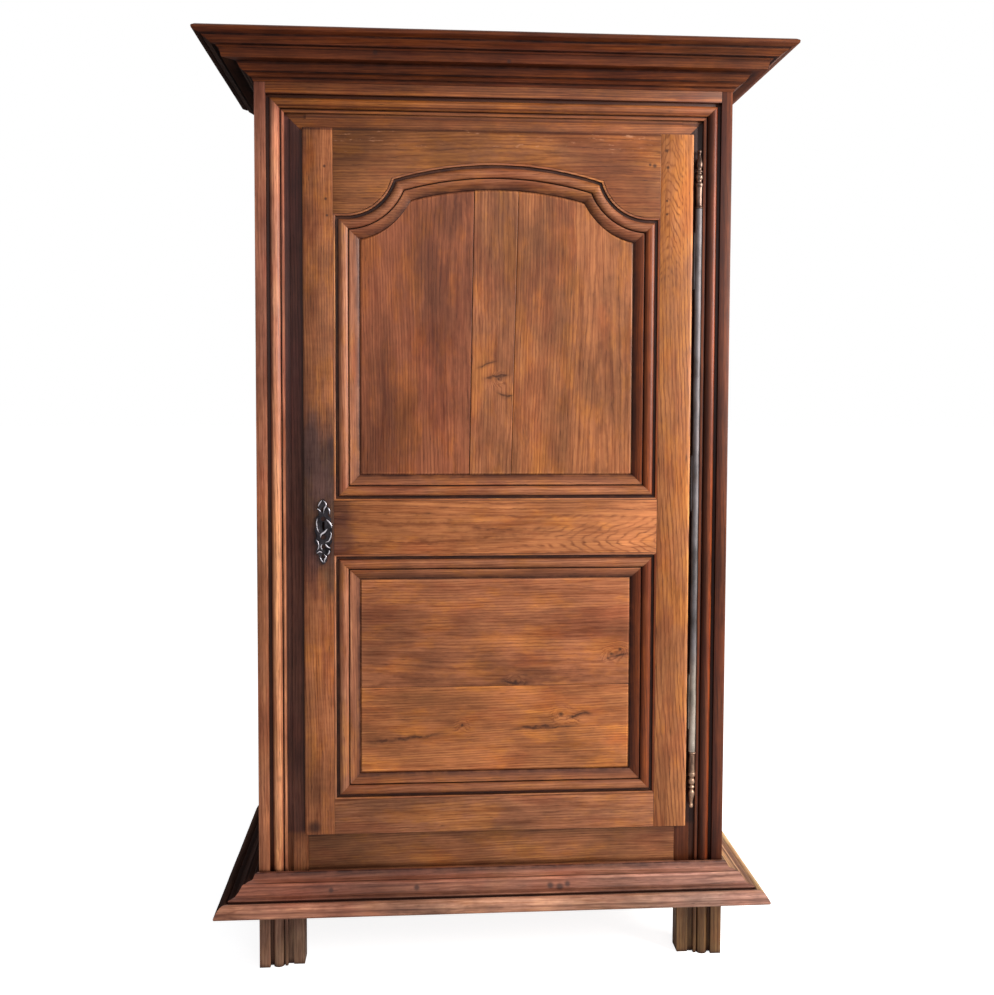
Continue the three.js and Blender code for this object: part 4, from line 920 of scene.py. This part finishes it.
# Arched figure: axis across and along the grain, place of the middle line, slope, spacing and half width
# of the arches, and the four places along the grain between which they come in and go out, in metres
STILE_ARCHES = (0, 2, 0.366, 2.2, 0.020, 0.045, 1.40, 1.56, 1.78, 1.81)
RAIL_ARCHES = (2, 0, 0.918, -2.0, 0.027, 0.065, 0.04, 0.2, 0.36, 0.37)


def band_stains(bands, axis, edge, turn, above=None):
    return [(axis, *((edge + turn * far) * MM for far in band[:4]), band[4], 0.0, above) for band in bands]


left_stains = band_stains(LEFT_POST_SHADING_BANDS, 0, -HALF_BODY, 1, FOOT_TOP)
left_stains += band_stains(LEFT_STRIP_SHADOW_BANDS, 0, -HALF_BODY, 1, STRIP_BOTTOM)
left_stains += [LEFT_FOOT_GREY, UPPER_POST_DARK, POST_HEAD_DARK]
right_stains = band_stains(RIGHT_POST_SHADING_BANDS, 0, HALF_BODY, -1, FOOT_TOP)
right_stains += band_stains(RIGHT_STRIP_SHADOW_BANDS, 0, HALF_BODY, -1, STRIP_BOTTOM) + [RIGHT_FOOT_GREY]
dress_oak("post_front_left", "up", POST_LEFT, (0.1, 0.4, 0.2), title="post_left", pith=(0.62, 0.3),
          stains=left_stains, golden=0.25, spots=LEFT_POST_SPOTS)
dress_oak("post_front_right", "up", POST_RIGHT, (1.1, 1.4, 1.2), title="post_right", pith=(-0.62, 0.3),
          stains=right_stains, golden=0.25)
for side, word in ((-1, "left"), (1, "right")):
    dress_oak(f"post_rear_{word}", "up", SIDE_BROWN, (0.7 + side, 0.3, 0.5), 1.5)
    for number, level in enumerate(("bottom", "middle", "top")):
        dress_oak(f"rail_side_{level}_{word}", "back", SIDE_BROWN, (0.3 * number + side, 0.7, 0.4), 1.0)
    for number, level in enumerate(("lower", "upper")):
        dress_oak(f"panel_side_{level}_{word}", "up", SIDE_BROWN, (0.6 * number + side, 0.2, 0.9), 0.0,
                  pith=(0.4 * side, 0.05 + 0.08 * number))
    for number in (1, 2):
        dress_oak(f"cleat_{number}_{word}", "back", INSIDE, (side, number, 0.4), 1.0)
dress_oak("rail_front_top", "across", TOP_RAIL_TONES, (2.1, 0.4, 1.2), pith=(-1.9, 0.3),
          stains=band_stains(RAIL_SHADE_BANDS, 2, CORNICE_BOTTOM, -1))
dress_oak("rail_front_bottom", "across", tones(134, 84, 54), (1.1, 2.4, 0.2), 1.0, pith=(-0.3, 0.25))
for number, level in enumerate(("bottom", "middle", "top")):
    dress_oak(f"rail_rear_{level}", "across", INSIDE, (number, 0.4, 1.2), 1.0)
for number, level in enumerate(("lower", "upper")):
    dress_oak(f"panel_back_{level}", "up", INSIDE, (number, 1.4, 0.2), 0.0, gloss=0.6)
for number, node in enumerate(("board_floor", "board_top", "shelf_1", "shelf_2")):
    dress_oak(node, "across", INSIDE, (number * 0.7, 0.9, 0.8), 1.0, gloss=0.6, pith=(-0.2 - number, 0.2))
dress_oak("door_stile_lock", "up", tones(152, 92, 58), (0.9, 0.1, 0.7), title="stile_lock",
          pith=(0.43, 0.2), stains=[STILE_HAND_WORN, DOOR_TOP_DARK_LINE], curl=0.16, spots=LOCK_STILE_SPOTS)
dress_oak("door_stile_hinge", "up", ORANGE, (0.2, 1.9, 0.1), title="stile_hinge", pith=(-0.30, 0.05),
          patch=0.2, lines=0.72, tilt=(0.02, 0.03), arches=STILE_ARCHES, stains=[STILE_EDGE_HIGHLIGHT],
          spots=HINGE_STILE_SPOTS)
dress_oak("door_rail_top", "across", tones(142, 86, 50), (0.3, 0.9, 0.5), title="rail_top",
          pith=(1.72, 0.14), scratches=0.6, stains=[DOOR_TOP_DARK_LINE], spots=TOP_RAIL_SPOTS)
dress_oak("door_rail_middle", "across", tones(166, 102, 62), (1.4, 0.2, 0.9), title="rail_middle",
          pith=(0.91, 0.07), patch=0.3, lines=0.72, tilt=(0.02, 0.035), arches=RAIL_ARCHES,
          stains=[RAIL_HAND_WORN])
dress_oak("door_rail_bottom", "across", tones(153, 97, 66), (0.8, 0.6, 1.9), title="rail_bottom",
          pith=(0.35, 0.16))

# The rod's lower part is paler, fading in from 0.70 m down to 0.58 m: painted light
steel = forged("hinge_steel", srgb(77, 73, 73), srgb(125, 119, 120), 0.66, 40.0, rust=0.3,
               round_axis=(HINGE_X * MM, HINGE_Y * MM, 0.0086), paler=(0.70, 0.58, (2.5, 2.4, 2.0)))
iron = forged("lock_iron", srgb(22, 20, 23), srgb(62, 58, 62), 0.5, 90.0)
for node in ("hinge_pin", "hinge_barrel"):
    dress(node, steel)
# Radius in millimetres and share of the length, from the joint to the tip of a knuckle
KNUCKLE_TURNING = [
    (7.0, 0.0), (8.3, 0.008), (8.6, 0.018), (8.2, 0.03), (6.8, 0.038), (6.7, 0.05), (6.7, 0.2),
    (6.6, 0.355), (7.0, 0.368), (8.0, 0.385), (8.1, 0.41), (7.6, 0.43), (5.4, 0.445), (5.0, 0.47),
    (6.3, 0.49), (7.3, 0.515), (7.5, 0.54), (6.6, 0.565), (4.8, 0.585), (4.7, 0.6), (6.6, 0.615),
    (6.8, 0.635), (4.7, 0.65), (4.3, 0.67),
    (5.7, 0.69), (7.2, 0.72), (7.4, 0.75), (6.5, 0.79), (5.1, 0.83), (3.9, 0.87), (3.1, 0.9), (2.8, 0.92),
    (3.7, 0.935), (4.5, 0.955), (4.4, 0.975), (3.1, 0.993), (1.0, 1.0),
]
KNUCKLE_LONG = 125.0


def turned_knuckle(joint, direction, around=32):
    """A lathe form: each radius of the turning carried round the hinge line at even angles, with short
    curves of the second degree between the given points."""
    line = np.array(KNUCKLE_TURNING) * [1, KNUCKLE_LONG]
    share = np.linspace(0, 1, 4)[:-1, None, None]
    middles = (line[:-1] + line[1:]) / 2
    bend = leaning(middles[:-1], line[1:-1], middles[1:], share)
    curve = np.vstack([line[:1], bend.transpose(1, 0, 2).reshape(-1, 2), line[-1:]])
    angle = np.linspace(0, 2 * math.pi, around, endpoint=False)
    x = HINGE_X + curve[:, :1] * np.cos(angle)
    y = HINGE_Y + curve[:, :1] * np.sin(angle)
    z = joint + direction * curve[:, 1:] + 0 * angle
    return np.stack([x, y, z], -1).reshape(-1, 3), tube_faces(len(curve), around)


# The lower knuckle, below 0.46 m, is paler: painted light
bronze = forged("knuckle_iron", srgb(58, 44, 40), srgb(132, 108, 94), 0.38, 60.0, rust=0.6,
                paler=(0.5, 0.46, (2.0, 1.95, 1.75)))
for word, joint, direction in (("top", 1625.6, 1), ("bottom", 452.2, -1)):
    points, faces = turned_knuckle(joint, direction)
    piece(f"knuckle_{word}_turned", points, faces, "carcase", bronze, [f"hinge_knuckle_{word}"])


# Raised straps of the keyhole plate: places as shares of its width and height from its top left corner,
# with a half width in millimetres
PLATE_LEFT = -380.9
PLATE_TOP = 1008.8
PLATE_WIDE = 37.0
PLATE_TALL = 138.0
PLATE_FACE = -164.7
STRAPS = [
    (1.7, [(0.47, 0.01), (0.62, 0.05), (0.66, 0.10), (0.55, 0.15), (0.50, 0.25)]),
    (1.4, [(0.45, 0.01), (0.30, 0.06), (0.20, 0.12)]),
    (1.3, [(0.13, 0.14), (0.26, 0.16), (0.38, 0.20)]),
    (1.7, [(0.75, 0.12), (0.84, 0.17), (0.87, 0.24)]),
    (2.0, [(0.63, 0.30), (0.80, 0.34), (0.95, 0.40), (0.97, 0.45)]),
    (2.2, [(0.76, 0.44), (0.58, 0.50), (0.38, 0.54), (0.32, 0.60)]),
    (1.6, [(0.87, 0.49), (0.95, 0.53), (0.90, 0.59), (0.78, 0.645), (0.55, 0.66)]),
    (2.1, [(0.60, 0.675), (0.71, 0.72), (0.92, 0.75)]),
    (1.5, [(0.84, 0.775), (0.82, 0.82), (0.72, 0.855)]),
    (1.8, [(0.50, 0.83), (0.65, 0.88), (0.56, 0.93), (0.60, 0.98)]),
    (1.4, [(0.10, 0.83), (0.28, 0.80), (0.46, 0.82)]),
    (1.4, [(0.08, 0.61), (0.20, 0.66), (0.24, 0.73), (0.14, 0.79)]),
    (1.5, [(0.18, 0.28), (0.12, 0.36), (0.16, 0.45), (0.28, 0.52)]),
    (1.3, [(0.44, 0.68), (0.36, 0.73), (0.46, 0.78)]),
    (1.3, [(0.30, 0.87), (0.38, 0.93), (0.52, 0.97)]),
]


def strap(half_width, places, stations=28, around=10):
    """A raised strap: a smooth curve through the given places, each span of it a cubic with slopes taken
    from the places beside it, carrying a flattened ring that tapers to both ends."""
    given = np.array(places) * [PLATE_WIDE, -PLATE_TALL] + [PLATE_LEFT, PLATE_TOP]
    slopes = np.gradient(given, axis=0)
    along = np.linspace(0, len(given) - 1, stations)
    start = np.minimum(along.astype(int), len(given) - 2)
    t = (along - start)[:, None]
    line = ((2 * t**3 - 3 * t**2 + 1) * given[start] + (t**3 - 2 * t**2 + t) * slopes[start]
            + (3 * t**2 - 2 * t**3) * given[start + 1] + (t**3 - t**2) * slopes[start + 1])
    tangent = np.gradient(line, axis=0)
    tangent = tangent / np.linalg.norm(tangent, axis=1, keepdims=True)
    side = np.stack([tangent[:, 1], -tangent[:, 0]], 1)
    share = np.linspace(0, 1, stations)
    taper = half_width * (0.25 + 0.75 * np.sin(math.pi * share) ** 0.6)
    angle = np.linspace(0, 2 * math.pi, around, endpoint=False)
    across = taper[:, None] * np.cos(angle)
    rise = 0.85 * taper[:, None] * np.sin(angle)
    x = line[:, :1] + side[:, :1] * across
    z = line[:, 1:] + side[:, 1:] * across
    # Polish on the crown of each strap together with a painted highlight leaning to one side
    wear_and_shading = np.clip(np.sin(angle) + 0.25 * np.cos(angle), 0, 1) * np.sin(math.pi * share)[:, None] ** 0.4
    return np.stack([x, PLATE_FACE - rise, z], -1).reshape(-1, 3), wear_and_shading.ravel(), stations, around


strap_points, strap_faces, strap_wear_and_shading = [], [], []
for half_width, places in STRAPS:
    points, wear_and_shading, stations, around = strap(half_width, places)
    strap_faces += tube_faces(stations, around, start=sum(len(part) for part in strap_points))
    strap_points.append(points)
    strap_wear_and_shading.append(wear_and_shading)
rubbed_and_lit_iron = forged("strap_iron", srgb(24, 22, 26), srgb(60, 56, 60), 0.3, 120.0,
                     rubbed_and_lit=srgb(214, 208, 214))
piece("keyhole_plate_straps", np.vstack(strap_points), strap_faces, "door", rubbed_and_lit_iron,
      wear_and_shading=np.concatenate(strap_wear_and_shading))
for node in ("lock_case", "lock_bolt", "lock_keeper", "keyhole_plate"):
    dress(node, iron)


# Floor, light and camera
FLOOR_REACH = 30.0
FLOOR_LEVEL = -0.0005


def plain_floor():
    """A wide level sheet. It shows white to the camera and keeps the shadow of the cupboard."""
    mesh = bpy.data.meshes.new("floor")
    far = FLOOR_REACH
    mesh.from_pydata([(x, y, FLOOR_LEVEL) for x, y in ((-far, -far), (far, -far), (far, far), (-far, far))],
                     [], [(0, 1, 2, 3)])
    material, tree = new_material("floor_white")
    matt = add(tree, "ShaderNodeBsdfDiffuse", {"Color": (0.78, 0.78, 0.78, 1.0)})
    seen = add(tree, "ShaderNodeLightPath").outputs["Is Camera Ray"]
    glow = add(tree, "ShaderNodeEmission", {"Strength": times(tree, seen, 0.85)})
    both = add(tree, "ShaderNodeAddShader", {0: matt.outputs[0], 1: glow.outputs[0]})
    add(tree, "ShaderNodeOutputMaterial", {0: both.outputs[0]})
    mesh.materials.append(material)
    in_scene("floor", mesh)


def studio_world():
    """White where the camera, a reflection or glass sees it, and a soft cool light elsewhere."""
    world = bpy.data.worlds.new("studio")
    bpy.context.scene.world = world
    world.use_nodes = True
    tree = world.node_tree
    tree.nodes.clear()
    path = add(tree, "ShaderNodeLightPath")
    seen = maths(tree, "MAXIMUM", path.outputs["Is Camera Ray"], path.outputs["Is Glossy Ray"])
    seen = maths(tree, "MAXIMUM", seen, path.outputs["Is Transmission Ray"])
    soft = add(tree, "ShaderNodeBackground", {"Color": (0.93, 0.96, 1.0, 1.0), "Strength": 0.24})
    white = add(tree, "ShaderNodeBackground", {"Color": (1.0, 1.0, 1.0, 1.0), "Strength": 1.0})
    mixed = add(tree, "ShaderNodeMixShader", {0: seen, 1: soft.outputs[0], 2: white.outputs[0]})
    add(tree, "ShaderNodeOutputWorld", {0: mixed.outputs[0]})


def lamp(name, place, target, width, height, power, colour):
    """A soft rectangular lamp that looks at a point."""
    data = bpy.data.lights.new(name, "AREA")
    data.shape = "RECTANGLE"
    data.size = width
    data.size_y = height
    data.energy = power
    data.color = colour
    made = in_scene(name, data)
    made.location = place
    away = Vector(place) - Vector(target)
    made.rotation_euler = away.to_track_quat("Z", "Y").to_euler()


# The photograph's camera, from a fit to the front's corners with the point straight ahead held where the
# other views still take in the cornice: turns in radians, place in metres, and in pixels the distance of
# the picture plane, the middle of the picture and that point
CAMERA_TURNS = (0.05785, 0.04183, -0.00307)
CAMERA_PLACE = (-0.15639, -1.94797 + FRONT_FACE * MM, 1.23583)
PICTURE_HIGH = 995
PICTURE_PLANE = 921.51
PICTURE_MIDDLE = (497.0, 497.5)
STRAIGHT_AHEAD = (475.0, 430.0)
SENSOR_WIDE = 36.0


def photo_camera():
    """The photograph's camera: its place, its small turns, its field of view and its framing."""
    yaw, pitch, roll = CAMERA_TURNS
    data = bpy.data.cameras.new("camera")
    data.sensor_width = SENSOR_WIDE
    data.lens = PICTURE_PLANE * SENSOR_WIDE / PICTURE_HIGH
    data.shift_x = (PICTURE_MIDDLE[0] - STRAIGHT_AHEAD[0]) / PICTURE_HIGH
    data.shift_y = (STRAIGHT_AHEAD[1] - PICTURE_MIDDLE[1]) / PICTURE_HIGH
    made = in_scene("camera", data)
    ahead = Vector((math.sin(yaw) * math.cos(pitch), math.cos(yaw) * math.cos(pitch), -math.sin(pitch)))
    right = Vector((math.cos(yaw), -math.sin(yaw), 0.0))
    down = ahead.cross(right)
    turned_right = right * math.cos(roll) + down * math.sin(roll)
    turned_down = down * math.cos(roll) - right * math.sin(roll)
    rows = zip(turned_right, -turned_down, -ahead, CAMERA_PLACE)
    made.matrix_world = Matrix((*rows, (0.0, 0.0, 0.0, 1.0)))
    bpy.context.scene.camera = made


plain_floor()
studio_world()
lamp("window_light", (2.35, -1.25, 1.85), (0.0, -0.15, 1.0), 1.0, 1.5, 135.0, (1.0, 0.975, 0.95))
lamp("room_light", (0.7, -3.5, 2.1), (0.0, -0.15, 0.9), 2.4, 1.8, 24.0, (0.97, 0.97, 1.0))
photo_camera()
bpy.context.scene.view_settings.view_transform = "Standard"
